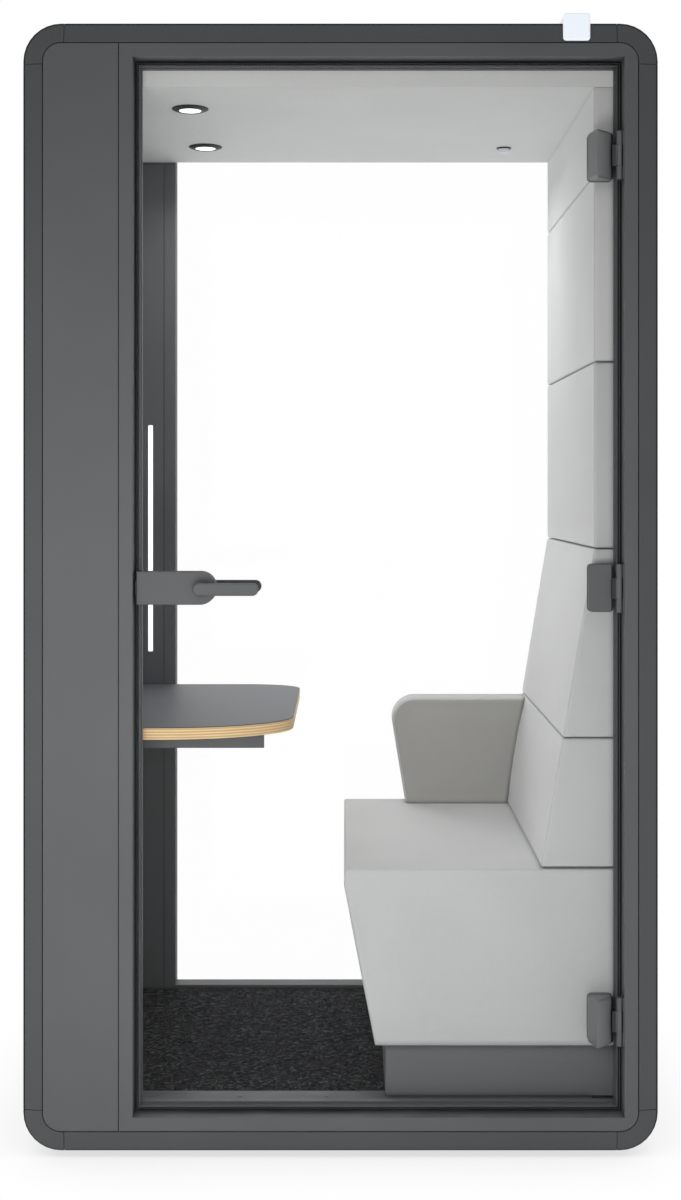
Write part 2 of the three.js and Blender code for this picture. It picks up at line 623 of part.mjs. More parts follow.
// Table: a long curve on the side of the door and a short one at the back lead to the straight free end
function tableTop() {
  const [d0, d1] = [MID_D - TABLE_HALF, MID_D + TABLE_HALF];
  const doorRun = TABLE_L - TABLE_STRAIGHT;
  const [doorX, backX] = [TABLE_X1 - doorRun, TABLE_X1 - TABLE_BACK_RUN];
  const top = new THREE.Shape().moveTo(TABLE_X0, d0).lineTo(doorX, d0);
  top.absellipse(doorX, d0 + TABLE_DOOR_FALL, doorRun, TABLE_DOOR_FALL, -Math.PI / 2, 0);
  top.absellipse(backX, d1 - TABLE_BACK_FALL, TABLE_BACK_RUN, TABLE_BACK_FALL, 0, Math.PI / 2);
  top.lineTo(TABLE_X0, d1).closePath();
  return alongZ(top, TABLE_TOP - TABLE_T, TABLE_TOP, TABLE_EDGE, 14);
}

function tableSupport() {
  const half = TABLE_HALF - SUPPORT_SIDE_GAP;
  const [d0, d1, end] = [MID_D - half, MID_D + half, TABLE_X0 + SUPPORT_L];
  const tray = new THREE.Shape().moveTo(TABLE_X0, d0).lineTo(end, d0);
  tray.lineTo(end - SUPPORT_TAPER, d1).lineTo(TABLE_X0, d1).closePath();
  const top = TABLE_TOP - TABLE_T - FIT;
  return alongZ(tray, top - SUPPORT_H, top, SUPPORT_BEVEL);
}

// Lights and sensor
function downlight([x, d]) {
  const face = -FIT - LIGHT_DROP;
  const lens = face + LIGHT_LENS_SET;
  const profile = [[0, lens], [LIGHT_LENS_R, lens], [LIGHT_LENS_R, face], [LIGHT_LENS_R + LIGHT_LIP, face],
    [LIGHT_R, -FIT - LIGHT_RIM], [LIGHT_R, -FIT], [LIGHT_CAN_R, -FIT], [LIGHT_CAN_R, LIGHT_CAN_H],
    [0, LIGHT_CAN_H]];
  return turned(profile, 24).translate(x, d, CEILING_Z);
}

function motionSensor() {
  const base = -FIT - SENSOR_RING;
  const dome = [0, 0.3, 0.6, 0.85, 1].map((share) => {
    const a = share * (Math.PI / 2);
    return [SENSOR_DOME_R * Math.sin(a), base - (SENSOR_DROP - SENSOR_RING) * Math.cos(a)];
  });
  const flange = [[SENSOR_R - 1, base], [SENSOR_R, -FIT - 1], [SENSOR_R, -FIT]];
  const stem = [[SENSOR_STEM_R, -FIT], [SENSOR_STEM_R, SENSOR_STEM_H], [0, SENSOR_STEM_H]];
  const profile = [...dome, ...flange, ...stem];
  return turned(profile, 16).translate(...SENSOR_PLACE, CEILING_Z);
}

// The beacon is a block that saddles the upper front rail.
function beacon() {
  const x0 = IN_X - BEACON_X - BEACON_W;
  const top = SHELL_H + BEACON_RISE;
  const face = roundedRect(x0, x0 + BEACON_W, top - BEACON_H, top, 6);
  const block = alongY(face, -BEACON_FRONT, BEACON_D - BEACON_FRONT, BEACON_BEVEL, 3);
  const away = new THREE.Vector2(-BAND, BAND_FALL).setLength(FIT);
  const rail = new THREE.Shape().moveTo(away.x, 0).lineTo(away.x, IN_TOP + away.y);
  rail.lineTo(BAND_FALL + away.x, SHELL_H + away.y).lineTo(BAND_FALL, SHELL_H + FIT);
  rail.lineTo(SHELL_D, SHELL_H + FIT).lineTo(SHELL_D, 0).closePath();
  return cut(block, alongX(rail, x0 - 1, x0 + BEACON_W + 1));
}

// Fan: a square housing with a spider that carries the rotor's shaft
function fanHousing() {
  const half = FAN / 2;
  const ring = roundedRect(FAN_CX - half, FAN_CX + half, MID_D - half, MID_D + half, 8);
  ring.holes.push(roundHole(FAN_CX, MID_D, FAN_BORE_R));
  const pieces = [alongZ(ring, FAN_Z, FAN_Z + FAN_H, 0, 8)];
  for (let i = 0; i < FAN_STRUTS / 2; i++) {
    const [reach, side] = [FAN_BORE_R + 1, FAN_STRUT / 2];
    const strut = box(-reach, reach, -side, side, FAN_Z, FAN_Z + FAN_PLATE_T);
    pieces.push(strut.rotateZ((i + 0.5) * (Math.PI / 2)).translate(FAN_CX, MID_D, 0));
  }
  pieces.push(post(FAN_CX, MID_D, FAN_HUB_R, FAN_Z, FAN_Z + FAN_PLATE_T));
  pieces.push(post(FAN_CX, MID_D, FAN_SHAFT_R, FAN_Z, FAN_Z + FAN_H - FAN_PLATE_T, 16));
  return join(...pieces);
}

function fanRotor() {
  const z0 = FAN_PLATE_T + PLAY;
  const z1 = FAN_H - PLAY;
  const hub = post(0, 0, FAN_HUB_R, z0, z1, 28);
  const sections = [FAN_HUB_R - 1, (FAN_HUB_R + FAN_BORE_R) / 2, FAN_BORE_R - FAN_TIP_GAP];
  const mid = (z0 + z1) / 2;
  const corner = (r, turn, z) => new THREE.Vector3(r * Math.cos(turn), r * Math.sin(turn), z);
  const blades = Array.from({ length: FAN_BLADES }, (_, i) => {
    const at = (i * Math.PI * 2) / FAN_BLADES;
    return loft(sections.map((r) => {
      const lead = at + FAN_TWIST / 2;
      const trail = at - FAN_TWIST / 2;
      const [up, down] = [mid + FAN_BLADE_H / 2, mid - FAN_BLADE_H / 2];
      return [corner(r, trail, down), corner(r, lead, up - FAN_BLADE_T), corner(r, lead, up),
        corner(r, trail, down + FAN_BLADE_T)];
    }));
  });
  const bore = post(0, 0, FAN_SHAFT_R + FIT, z0 - 1, FAN_H - FAN_PLATE_T + PLAY, 16);
  return cut(join(hub, ...blades), bore).translate(FAN_CX, MID_D, FAN_Z);
}

// Door glass with holes for the hinge bosses and the lock
const HINGE_HEIGHTS = { bottom: OPEN.z0 + HINGE_FOOT, top: OPEN.z1 - HINGE_HEAD };
HINGE_HEIGHTS.middle = (HINGE_HEIGHTS.bottom + HINGE_HEIGHTS.top) / 2;
const BOSS_X = (LEAF_X0 + LEAF_X1) / 2;
const BOLT_MID_D = LOCK_FRONT + BOLT_SET + BOLT_T / 2;

function doorGlass() {
  const pane = roundedRect(GLASS.x0, GLASS.x1, GLASS.z0, GLASS.z1, GLASS_CORNER_R);
  for (const z of Object.values(HINGE_HEIGHTS)) {
    for (const side of [-1, 1]) pane.holes.push(roundHole(BOSS_X, z + side * BOSS_Z, BOSS_R + PLAY));
  }
  pane.holes.push(roundHole(LEVER_X, HANDLE_Z, GLASS_HOLE_R));
  return alongY(pane, GLASS_SET, GLASS_BACK, 0, 6);
}

// The frame leaf lies on the reveal and holds the pin in its upper and lower knuckle.
function hingeFrameLeaf(centre) {
  const [z0, z1] = [centre - HINGE_H / 2, centre + HINGE_H / 2];
  const leafX = OPEN.x1 - FIT - FRAME_LEAF_T;
  const end = HINGE_H * KNUCKLE_END;
  const pieces = [box(leafX, leafX + FRAME_LEAF_T, 1, 1 + FRAME_LEAF_D, z0, z1)];
  for (const [low, high] of [[z0, z0 + end], [z1 - end, z1]]) {
    pieces.push(post(HINGE_X, HINGE_AXIS_D, KNUCKLE_R, low, high));
    const [near, far] = [HINGE_AXIS_D - PIN_R, HINGE_AXIS_D + PIN_R];
    pieces.push(box(HINGE_X, leafX + FRAME_LEAF_T / 2, near, far, low, high));
  }
  pieces.push(post(HINGE_X, HINGE_AXIS_D, PIN_R, z0 + 1, z1 - 1, 16));
  return join(...pieces);
}

// The door leaf clamps the glass between two plates and turns on the pin with its middle knuckle.
function hingeDoorLeaf(centre, covered) {
  const half = HINGE_H / 2;
  const plate = roundedRect(LEAF_X0, LEAF_X1, centre - half, centre + half, LEAF_CORNER_R);
  const front = GLASS_SET - FIT;
  const knuckleHalf = half - HINGE_H * KNUCKLE_END - PLAY;
  const [low, high] = [centre - knuckleHalf, centre + knuckleHalf];
  const pieces = [alongY(plate, front - DOOR_LEAF_T, front, 2, 4)];
  pieces.push(alongY(plate, GLASS_BACK + FIT, GLASS_BACK + FIT + CLAMP_T, 0, 4));
  for (const side of [-1, 1]) {
    pieces.push(rod(BOSS_X, centre + side * BOSS_Z, BOSS_R, front - 1, GLASS_BACK + FIT + 1, 16));
  }
  if (covered) pieces.push(closerCover(centre, front));
  pieces.push(post(HINGE_X, HINGE_AXIS_D, KNUCKLE_R, low, high));
  const [near, far] = [HINGE_AXIS_D - PIN_R, front - WEB_LAP / 2];
  const web = box(LEAF_X1 - WEB_LAP, HINGE_X - PIN_R - PLAY, near, far, low, high);
  return cut(join(...pieces, web), post(HINGE_X, HINGE_AXIS_D, PIN_R + FIT, low - 1, high + 1, 16));
}

// Gabled cover over the closer inside the upper and lower hinge.
function closerCover(centre, base) {
  const half = HINGE_H / 2;
  const foot = base - WEB_LAP / 2;
  const plan = new THREE.Shape().moveTo(LEAF_X0, foot).lineTo(LEAF_X1 - COVER_RIDGE_X, base - COVER_RIDGE);
  plan.lineTo(LEAF_X1 - COVER_SHOULDER_X, base - COVER_SHOULDER).lineTo(LEAF_X1, foot).closePath();
  return alongZ(plan, centre - half, centre + half, COVER_BEVEL);
}

// Lock plates, bolt and levers
function lockFace(x0) {
  const half = LOCK_H / 2;
  return roundedRect(x0, GLASS.x0 + LOCK_L, HANDLE_Z - half, HANDLE_Z + half, [0, half - 1, half - 1, 0]);
}

function outerLockPlate() {
  const plate = alongY(lockFace(GLASS.x0), LOCK_FRONT, LOCK_FRONT + LOCK_T, LOCK_BEVEL, 8);
  const d0 = LOCK_FRONT + BOLT_SET;
  const half = BOLT_H / 2 + FIT;
  const end = GLASS.x0 + BOLT_L + BOLT_TRAVEL;
  const pocket = box(GLASS.x0 - 1, end, d0 - FIT, d0 + BOLT_T + FIT, HANDLE_Z - half, HANDLE_Z + half);
  return cut(plate, pocket, rod(LEVER_X, HANDLE_Z, SPINDLE_HOLE_R, LOCK_FRONT - 1, GLASS_SET));
}

function innerLockPlate() {
  const d0 = GLASS_BACK + FIT;
  const plate = alongY(lockFace(GLASS.x0 + INNER_LOCK_SET), d0, d0 + LOCK_T, LOCK_BEVEL, 8);
  return cut(plate, rod(LEVER_X, HANDLE_Z, SPINDLE_HOLE_R, d0 - 1, d0 + LOCK_T + 1));
}

function latchBolt() {
  const d0 = LOCK_FRONT + BOLT_SET;
  const x0 = GLASS.x0 - BOLT_OUT;
  const half = BOLT_H / 2;
  const [x1, d1] = [x0 + BOLT_L, d0 + BOLT_T];
  const tip = new THREE.Shape().moveTo(x0 + BOLT_TIP, d0).lineTo(x1, d0).lineTo(x1, d1);
  tip.lineTo(x0 + BOLT_TIP, d1).lineTo(x0, d1 - BOLT_TIP).lineTo(x0, d0 + BOLT_TIP).closePath();
  return alongZ(tip, HANDLE_Z - half, HANDLE_Z + half);
}

function strikePlate() {
  const [halfH, halfD] = [STRIKE_H / 2, STRIKE_D / 2];
  const face = roundedRect(BOLT_MID_D - halfD, BOLT_MID_D + halfD, HANDLE_Z - halfH, HANDLE_Z + halfH, 3);
  return alongX(face, OPEN.x0 - STRIKE_T - FIT, OPEN.x0 - FIT);
}

// A lever bar with round ends on its neck, between the plate it turns on and the far side of the bar.
function lever(plateD, outward) {
  const barNear = plateD + outward * LEVER_REACH;
  const barFar = barNear + outward * LEVER_T;
  const half = LEVER_H / 2;
  const x0 = LEVER_X - half;
  const bar = roundedRect(x0, x0 + LEVER_L, HANDLE_Z - half, HANDLE_Z + half, half - FIT);
  const span = (a, b) => [Math.min(a, b), Math.max(a, b)];
  const roseD = plateD + outward * FIT;
  return [alongY(bar, ...span(barNear, barFar), LEVER_BEVEL, 6, 2),
    rod(LEVER_X, HANDLE_Z, NECK_R, ...span(roseD, barNear + outward * LEVER_BEVEL)),
    rod(LEVER_X, HANDLE_Z, ROSE_R, ...span(roseD, roseD + outward * ROSE_T), 24)];
}

const INNER_FACE = GLASS_BACK + FIT + LOCK_T;

function outerLever() {
  const half = SPINDLE / 2;
  const spindle = box(LEVER_X - half, LEVER_X + half, LOCK_FRONT - ROSE_T, INNER_FACE + SPINDLE_GRIP,
    HANDLE_Z - half, HANDLE_Z + half);
  return join(...lever(LOCK_FRONT, -1), spindle);
}

function innerLever() {
  const half = SPINDLE / 2 + FIT;
  const socket = box(LEVER_X - half, LEVER_X + half, INNER_FACE - 1, INNER_FACE + SPINDLE_GRIP + FIT,
    HANDLE_Z - half, HANDLE_Z + half);
  return cut(join(...lever(INNER_FACE, 1)), socket);
}

// Assembly
const pod = new THREE.Group();
pod.position.set(0, -CENTRE_D, FLOOR_GAP);

function group(...pieces) {
  const made = new THREE.Group();
  for (const [name, geometry, material] of pieces) {
    const mesh = new THREE.Mesh(geometry, material);
    mesh.name = name;
    made.add(mesh);
  }
  pod.add(made);
}

for (const [side, sideX] of [["left", -1], ["right", 1]]) {
  group(
    [`corner_profile_top_${side}`, cornerProfile(sideX, true), GRAPHITE],
    [`corner_profile_bottom_${side}`, cornerProfile(sideX, false), GRAPHITE],
    [`front_rail_${side}`, sideRail(FRONT_RAIL, sideX), GRAPHITE],
    [`rear_rail_${side}`, sideRail(REAR_RAIL, sideX), GRAPHITE],
    [`outer_wall_${side}`, outerWall(sideX), GRAPHITE],
  );
}
for (const [level, atTop] of [["top", true], ["bottom", false]]) {
  group(
    [`front_rail_${level}`, crossRail(FRONT_RAIL, atTop), GRAPHITE],
    [`rear_rail_${level}`, crossRail(REAR_RAIL, atTop), GRAPHITE],
  );
}
group(["roof_panel", roofPanel(), GRAPHITE], ["base_panel", basePanel(), GRAPHITE]);
FOOT_PLACES.forEach((place, i) => group([`levelling_foot_${i + 1}`, foot(place), STEEL]));
group(
  ["front_side_panel", sidePanel(0, END_D), GRAPHITE],
  ["rear_side_panel", rearSidePanel(), GRAPHITE],
  ["light_strip", lightStrip(), WHITE],
  ["door_frame", doorFrame(), GRAPHITE],
  ["door_gasket", doorGasket(), RUBBER],
  ["strike_plate", strikePlate(), STEEL],
  ["rear_window_frame", rearWindowFrame(), GRAPHITE],
  ["rear_glass", rearGlass(), CLEAR],
);
group(
  ["threshold", threshold(), SILL],
  ["carpet", carpet(), CARPET],
  ["ceiling_panel", ceilingPanel(), FABRIC],
  ["left_wall_lining", leftLining(), FABRIC],
  ["wall_pad_top", wallPad(STRIP_BASE, CEILING_Z, flatFace), FABRIC],
  ["wall_pad_upper", wallPad((STRIP_BASE + BACK_TOP) / 2, STRIP_BASE, flatFace), FABRIC],
  ["wall_pad_lower", wallPad(BACK_TOP, (STRIP_BASE + BACK_TOP) / 2, flatFace), FABRIC],
  ["back_pad_upper", wallPad(BACK_SPLIT, BACK_TOP, backFace), FABRIC],
  ["back_pad_lower", wallPad(SEAT_HIGH, BACK_SPLIT, backFace), FABRIC],
  ["seat", seat(), FABRIC],
  ["armrest", armrest(), FABRIC],
  ["seat_plinth", plinth(), GRAPHITE],
  ["table_top", tableTop(), PLY],
  ["table_support", tableSupport(), GRAPHITE],
);
LIGHT_PLACES.forEach((place, i) => group([`downlight_${i ? "rear" : "front"}`, downlight(place), BLACK]));
group(
  ["motion_sensor", motionSensor(), WHITE],
  ["beacon", beacon(), WHITE],
  ["fan_housing", fanHousing(), BLACK],
  ["fan_rotor", fanRotor(), BLACK],
);
group(["door_glass", doorGlass(), CLEAR]);
for (const [level, centre] of Object.entries(HINGE_HEIGHTS)) {
  group(
    [`hinge_frame_leaf_${level}`, hingeFrameLeaf(centre), STEEL],
    [`hinge_door_leaf_${level}`, hingeDoorLeaf(centre, level !== "middle"), STEEL],
  );
}
group(
  ["lock_plate_outer", outerLockPlate(), STEEL],
  ["lock_plate_inner", innerLockPlate(), STEEL],
  ["latch_bolt", latchBolt(), STEEL],
  ["lever_outer", outerLever(), STEEL],
  ["lever_inner", innerLever(), STEEL],
);

export default pod;
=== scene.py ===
"""Looks of the acoustic office pod: finishes, upholstery, seals, screws, stage and camera."""

import math

import bmesh
import bpy
import numpy as np
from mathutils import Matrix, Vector
from mathutils.bvhtree import BVHTree
from mathutils.kdtree import KDTree


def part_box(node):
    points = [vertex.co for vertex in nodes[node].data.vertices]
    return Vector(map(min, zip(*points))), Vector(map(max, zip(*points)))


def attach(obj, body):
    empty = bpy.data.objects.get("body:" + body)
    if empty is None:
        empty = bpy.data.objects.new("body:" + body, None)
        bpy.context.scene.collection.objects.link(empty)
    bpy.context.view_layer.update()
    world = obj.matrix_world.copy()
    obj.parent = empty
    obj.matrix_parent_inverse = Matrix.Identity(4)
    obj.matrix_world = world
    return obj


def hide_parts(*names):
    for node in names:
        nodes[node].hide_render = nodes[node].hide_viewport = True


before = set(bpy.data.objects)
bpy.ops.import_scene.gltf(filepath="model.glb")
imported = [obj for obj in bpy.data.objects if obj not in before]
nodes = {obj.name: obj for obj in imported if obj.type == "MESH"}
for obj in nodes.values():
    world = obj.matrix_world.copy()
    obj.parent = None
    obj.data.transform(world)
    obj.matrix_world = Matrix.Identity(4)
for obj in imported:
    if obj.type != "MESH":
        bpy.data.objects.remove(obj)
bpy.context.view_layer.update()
scene = bpy.context.scene

MM = 0.001
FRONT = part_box("front_side_panel")[0][1]  # y of the pod's front face
SHELL_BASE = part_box("base_panel")[0][2]  # z of the shell's underside

BANDS = [n for n in nodes if n.startswith(("corner_profile", "front_rail", "rear_rail"))]
FACES = [n for n in nodes if n.startswith("outer_wall")]
FACES += ["roof_panel", "base_panel"]
FRAME_LEAVES = [n for n in nodes if n.startswith("hinge_frame_leaf")]
HARDWARE = [n for n in nodes if n.startswith("levelling_foot")]
HARDWARE += ["lock_plate_outer", "lever_outer", "latch_bolt", "strike_plate"]
PADS = ["wall_pad_top", "wall_pad_upper", "wall_pad_lower", "back_pad_upper", "back_pad_lower", "seat", "armrest"]


# Node tree helpers


def link(tree, *pairs):
    for a, b in pairs:
        tree.links.new(a, b)


def node(tree, kind, **settings):
    made = tree.nodes.new(kind)
    for key, value in settings.items():
        setattr(made, key, value)
    return made


def math_node(tree, operation, a, b=None, clamp=False):
    made = node(tree, "ShaderNodeMath", operation=operation, use_clamp=clamp)
    for socket, value in zip(made.inputs, (a, b)):
        if value is None:
            continue
        if isinstance(value, (int, float)):
            socket.default_value = value
        else:
            tree.links.new(value, socket)
    return made.outputs[0]


def ramp(tree, value, low, high, low_out=0.0, high_out=1.0):
    made = node(tree, "ShaderNodeMapRange", interpolation_type="SMOOTHSTEP")
    made.inputs["From Min"].default_value = low
    made.inputs["From Max"].default_value = high
    made.inputs["To Min"].default_value = low_out
    made.inputs["To Max"].default_value = high_out
    tree.links.new(value, made.inputs["Value"])
    return made.outputs["Result"]


def mix_color(tree, factor, a, b, blend="MIX"):
    made = node(tree, "ShaderNodeMix", data_type="RGBA", blend_type=blend)
    for socket, value in ((made.inputs[0], factor), (made.inputs[6], a), (made.inputs[7], b)):
        if isinstance(value, (int, float)):
            socket.default_value = value
        elif isinstance(value, tuple):
            socket.default_value = (*value, 1.0)
        else:
            tree.links.new(value, socket)
    return made.outputs[2]


def noise(tree, vector, scale, detail=3.0, roughness=0.5):
    made = node(tree, "ShaderNodeTexNoise")
    made.inputs["Scale"].default_value = scale
    made.inputs["Detail"].default_value = detail
    made.inputs["Roughness"].default_value = roughness
    tree.links.new(vector, made.inputs["Vector"])
    return made.outputs["Fac"]


def bump(tree, height, strength, distance):
    made = node(tree, "ShaderNodeBump")
    made.inputs["Strength"].default_value = strength
    made.inputs["Distance"].default_value = distance
    tree.links.new(height, made.inputs["Height"])
    return made.outputs["Normal"]


def shader_group(name, inputs, outputs):
    """A shared group with its named sockets, its tree, and its inner input and output nodes."""
    tree = bpy.data.node_groups.new(name, "ShaderNodeTree")
    for label, kind, value in inputs:
        socket = tree.interface.new_socket(label, in_out="INPUT", socket_type=kind)
        if value is not None:
            socket.default_value = value
    for label, kind in outputs:
        tree.interface.new_socket(label, in_out="OUTPUT", socket_type=kind)
    return tree, tree.nodes.new("NodeGroupInput"), tree.nodes.new("NodeGroupOutput")


def use_group(tree, group, **values):
    made = node(tree, "ShaderNodeGroup")
    made.node_tree = group
    for label, value in values.items():
        socket = made.inputs[label.replace("_", " ")]
        if isinstance(value, (int, float)):
            socket.default_value = value
        else:
            tree.links.new(value, socket)
    return made.outputs


def grain_group():
    """Fine orange peel of a powder coat or moulded skin, with slow tone changes over a panel."""
    inputs = [("Vector", "NodeSocketVector", None), ("Scale", "NodeSocketFloat", 900.0),
              ("Depth", "NodeSocketFloat", 0.00004)]
    tree, given, result = shader_group("fine_grain", inputs,
                                       [("Tone", "NodeSocketFloat"), ("Normal", "NodeSocketVector")])
    fine = node(tree, "ShaderNodeTexNoise")
    fine.inputs["Detail"].default_value = 2.0
    slow = noise(tree, given.outputs["Vector"], 2.2, 2.0)
    raised = node(tree, "ShaderNodeBump")
    link(tree, (given.outputs["Vector"], fine.inputs["Vector"]), (given.outputs["Scale"], fine.inputs["Scale"]),
         (fine.outputs["Fac"], raised.inputs["Height"]), (given.outputs["Depth"], raised.inputs["Distance"]),
         (math_node(tree, "ADD", math_node(tree, "MULTIPLY", slow, 0.7),
                    math_node(tree, "MULTIPLY", fine.outputs["Fac"], 0.3)), result.inputs["Tone"]),
         (raised.outputs["Normal"], result.inputs["Normal"]))
    return tree


def weave_group():
    """Threads crossing at a pitch, on whichever faces they lie, with loose fibre between them."""
    inputs = [("Vector", "NodeSocketVector", None), ("Pitch", "NodeSocketFloat", 0.0035),
              ("Depth", "NodeSocketFloat", 0.0003)]
    tree, given, result = shader_group("weave", inputs,
                                       [("Tone", "NodeSocketFloat"), ("Normal", "NodeSocketVector")])
    turn = math_node(tree, "DIVIDE", 2 * math.pi, given.outputs["Pitch"])
    scaled = node(tree, "ShaderNodeVectorMath", operation="SCALE")
    link(tree, (given.outputs["Vector"], scaled.inputs[0]), (turn, scaled.inputs["Scale"]))
    axes = node(tree, "ShaderNodeSeparateXYZ")
    facing = node(tree, "ShaderNodeSeparateXYZ")
    geometry = node(tree, "ShaderNodeNewGeometry")
    link(tree, (scaled.outputs[0], axes.inputs[0]), (geometry.outputs["True Normal"], facing.inputs[0]))
    waves = [math_node(tree, "SINE", axes.outputs[i]) for i in range(3)]
    share = [math_node(tree, "MULTIPLY", facing.outputs[i], facing.outputs[i]) for i in range(3)]
    height = None
    for i, (a, b) in enumerate(((1, 2), (0, 2), (0, 1))):
        crossing = math_node(tree, "MULTIPLY", share[i], math_node(tree, "MULTIPLY", waves[a], waves[b]))
        height = crossing if height is None else math_node(tree, "ADD", height, crossing)
    fibre = noise(tree, given.outputs["Vector"], 1400.0, 3.0, 0.7)
    height = math_node(tree, "ADD", math_node(tree, "MULTIPLY", height, 0.5), fibre)
    raised = node(tree, "ShaderNodeBump")
    raised.inputs["Strength"].default_value = 0.6
    link(tree, (height, raised.inputs["Height"]), (given.outputs["Depth"], raised.inputs["Distance"]),
         (height, result.inputs["Tone"]), (raised.outputs["Normal"], result.inputs["Normal"]))
    return tree


def dust_group():
    """A thin veil on what faces up, broken by noise."""
    tree, given, result = shader_group("dust", [("Vector", "NodeSocketVector", None),
                                                ("Amount", "NodeSocketFloat", 0.06)], [("Mask", "NodeSocketFloat")])
    geometry = node(tree, "ShaderNodeNewGeometry")
    facing = node(tree, "ShaderNodeSeparateXYZ")
    link(tree, (geometry.outputs["Normal"], facing.inputs[0]))
    up = ramp(tree, facing.outputs[2], 0.6, 1.0)
    patchy = ramp(tree, noise(tree, given.outputs["Vector"], 14.0, 4.0), 0.35, 0.75)
    mask = math_node(tree, "MULTIPLY", math_node(tree, "MULTIPLY", up, patchy), given.outputs["Amount"], clamp=True)
    link(tree, (mask, result.inputs["Mask"]))
    return tree


GRAIN, WEAVE, DUST = grain_group(), weave_group(), dust_group()


def material(name):
    """A fresh material: its tree, its main shader and the object's own coordinates."""
    made = bpy.data.materials.new(name)
    made.use_nodes = True
    tree = made.node_tree
    return made, tree, tree.nodes["Principled BSDF"], node(tree, "ShaderNodeTexCoord").outputs["Object"]


def painted_hollow_shade(tree, reach, strength, own=False):
    """Painted shade: strength deep in a seam, a groove or a corner, read from ambient occlusion, and 0 in the open;
    own looks at the piece alone.
    """
    open_share = node(tree, "ShaderNodeAmbientOcclusion", samples=6, only_local=own)
    open_share.inputs["Distance"].default_value = reach
    return ramp(tree, open_share.outputs["AO"], 0.45, 0.98, strength, 0.0)


def coated(name, color, roughness, scale=900.0, depth=0.00004, spread=0.12, metallic=0.0, dust=0.06, gloss=0.5,
           hollow_shade=0.0, reach=0.012, own=False):
    """A painted, plastic or metal skin with a fine grain and painted shade in its hollows."""
    made, tree, shader, place = material(name)
    grain = use_group(tree, GRAIN, Vector=place, Scale=scale, Depth=depth)
    dark = tuple(c * (1 - spread) for c in color)
    light = tuple(min(1.0, c * (1 + spread)) for c in color)
    tone = mix_color(tree, ramp(tree, grain["Tone"], 0.3, 0.7), dark, light)
    # painted shade: the tone goes towards a tenth of the colour in seams, grooves and corners
    if hollow_shade:
        tone = mix_color(tree, painted_hollow_shade(tree, reach, hollow_shade, own), tone, tuple(c * 0.1 for c in color))
    veil = use_group(tree, DUST, Vector=place, Amount=dust)
    link(tree, (mix_color(tree, veil["Mask"], tone, (0.55, 0.55, 0.54)), shader.inputs["Base Color"]),
         (grain["Normal"], shader.inputs["Normal"]))
    shader.inputs["Roughness"].default_value = roughness
    shader.inputs["Metallic"].default_value = metallic
    shader.inputs["Specular IOR Level"].default_value = gloss
    return made


def upholstery(name, color, pitch, depth, panel=None, hollow_shade=0.42):
    """A woven cover with painted shade in its hollows; the faces that look towards the door can get a painted shade of
    their own.
    """
    made, tree, shader, place = material(name)
    weave = use_group(tree, WEAVE, Vector=place, Pitch=pitch, Depth=depth)
    slow = ramp(tree, noise(tree, place, 5.0, 3.0), 0.3, 0.7)
    dark = tuple(c * 0.85 for c in color)
    tone = mix_color(tree, ramp(tree, weave["Tone"], 0.1, 0.9), dark, color)
    tone = mix_color(tree, math_node(tree, "MULTIPLY", slow, 0.25), tone, tuple(c * 1.06 for c in color))
    # painted shade on the faces that look towards the door
    if panel:
        facing = node(tree, "ShaderNodeSeparateXYZ")
        link(tree, (node(tree, "ShaderNodeNewGeometry").outputs["True Normal"], facing.inputs[0]))
        tone = mix_color(tree, ramp(tree, facing.outputs[1], -0.97, -0.8, 1.0, 0.0), tone, panel, "MULTIPLY")
    # painted shade in seams, grooves and corners
    tone = mix_color(tree, painted_hollow_shade(tree, 0.012, hollow_shade), tone, (0.12, 0.12, 0.12))
    link(tree, (tone, shader.inputs["Base Color"]), (weave["Normal"], shader.inputs["Normal"]))
    shader.inputs["Roughness"].default_value = 0.92
    shader.inputs["Sheen Weight"].default_value = 0.25
    shader.inputs["Sheen Roughness"].default_value = 0.5
    shader.inputs["Specular IOR Level"].default_value = 0.2
    return made


def pile_carpet():
    """Dark loop pile: each loop has its own shade, and some are flecked."""
    made, tree, shader, place = material("carpet_loops")
    loops = node(tree, "ShaderNodeTexVoronoi", feature="F1")
    loops.inputs["Scale"].default_value = 200.0
    link(tree, (place, loops.inputs["Vector"]))
    parts = node(tree, "ShaderNodeSeparateColor")
    link(tree, (loops.outputs["Color"], parts.inputs[0]))
    patch = ramp(tree, noise(tree, place, 60.0, 3.0), 0.35, 0.65, 0.85, 1.15)
    base = mix_color(tree, ramp(tree, parts.outputs[0], 0.0, 1.0), (0.006, 0.006, 0.007), (0.036, 0.037, 0.040))
    fleck = mix_color(tree, ramp(tree, parts.outputs[1], 0.82, 0.95), base, (0.088, 0.09, 0.095))
    shaded = mix_color(tree, 1.0, fleck, patch, "MULTIPLY")
    rounded = math_node(tree, "SUBTRACT", 1.0, loops.outputs["Distance"])
    link(tree, (shaded, shader.inputs["Base Color"]), (bump(tree, rounded, 1.0, 0.002), shader.inputs["Normal"]))
    shader.inputs["Roughness"].default_value = 1.0
    shader.inputs["Specular IOR Level"].default_value = 0.1
    return made


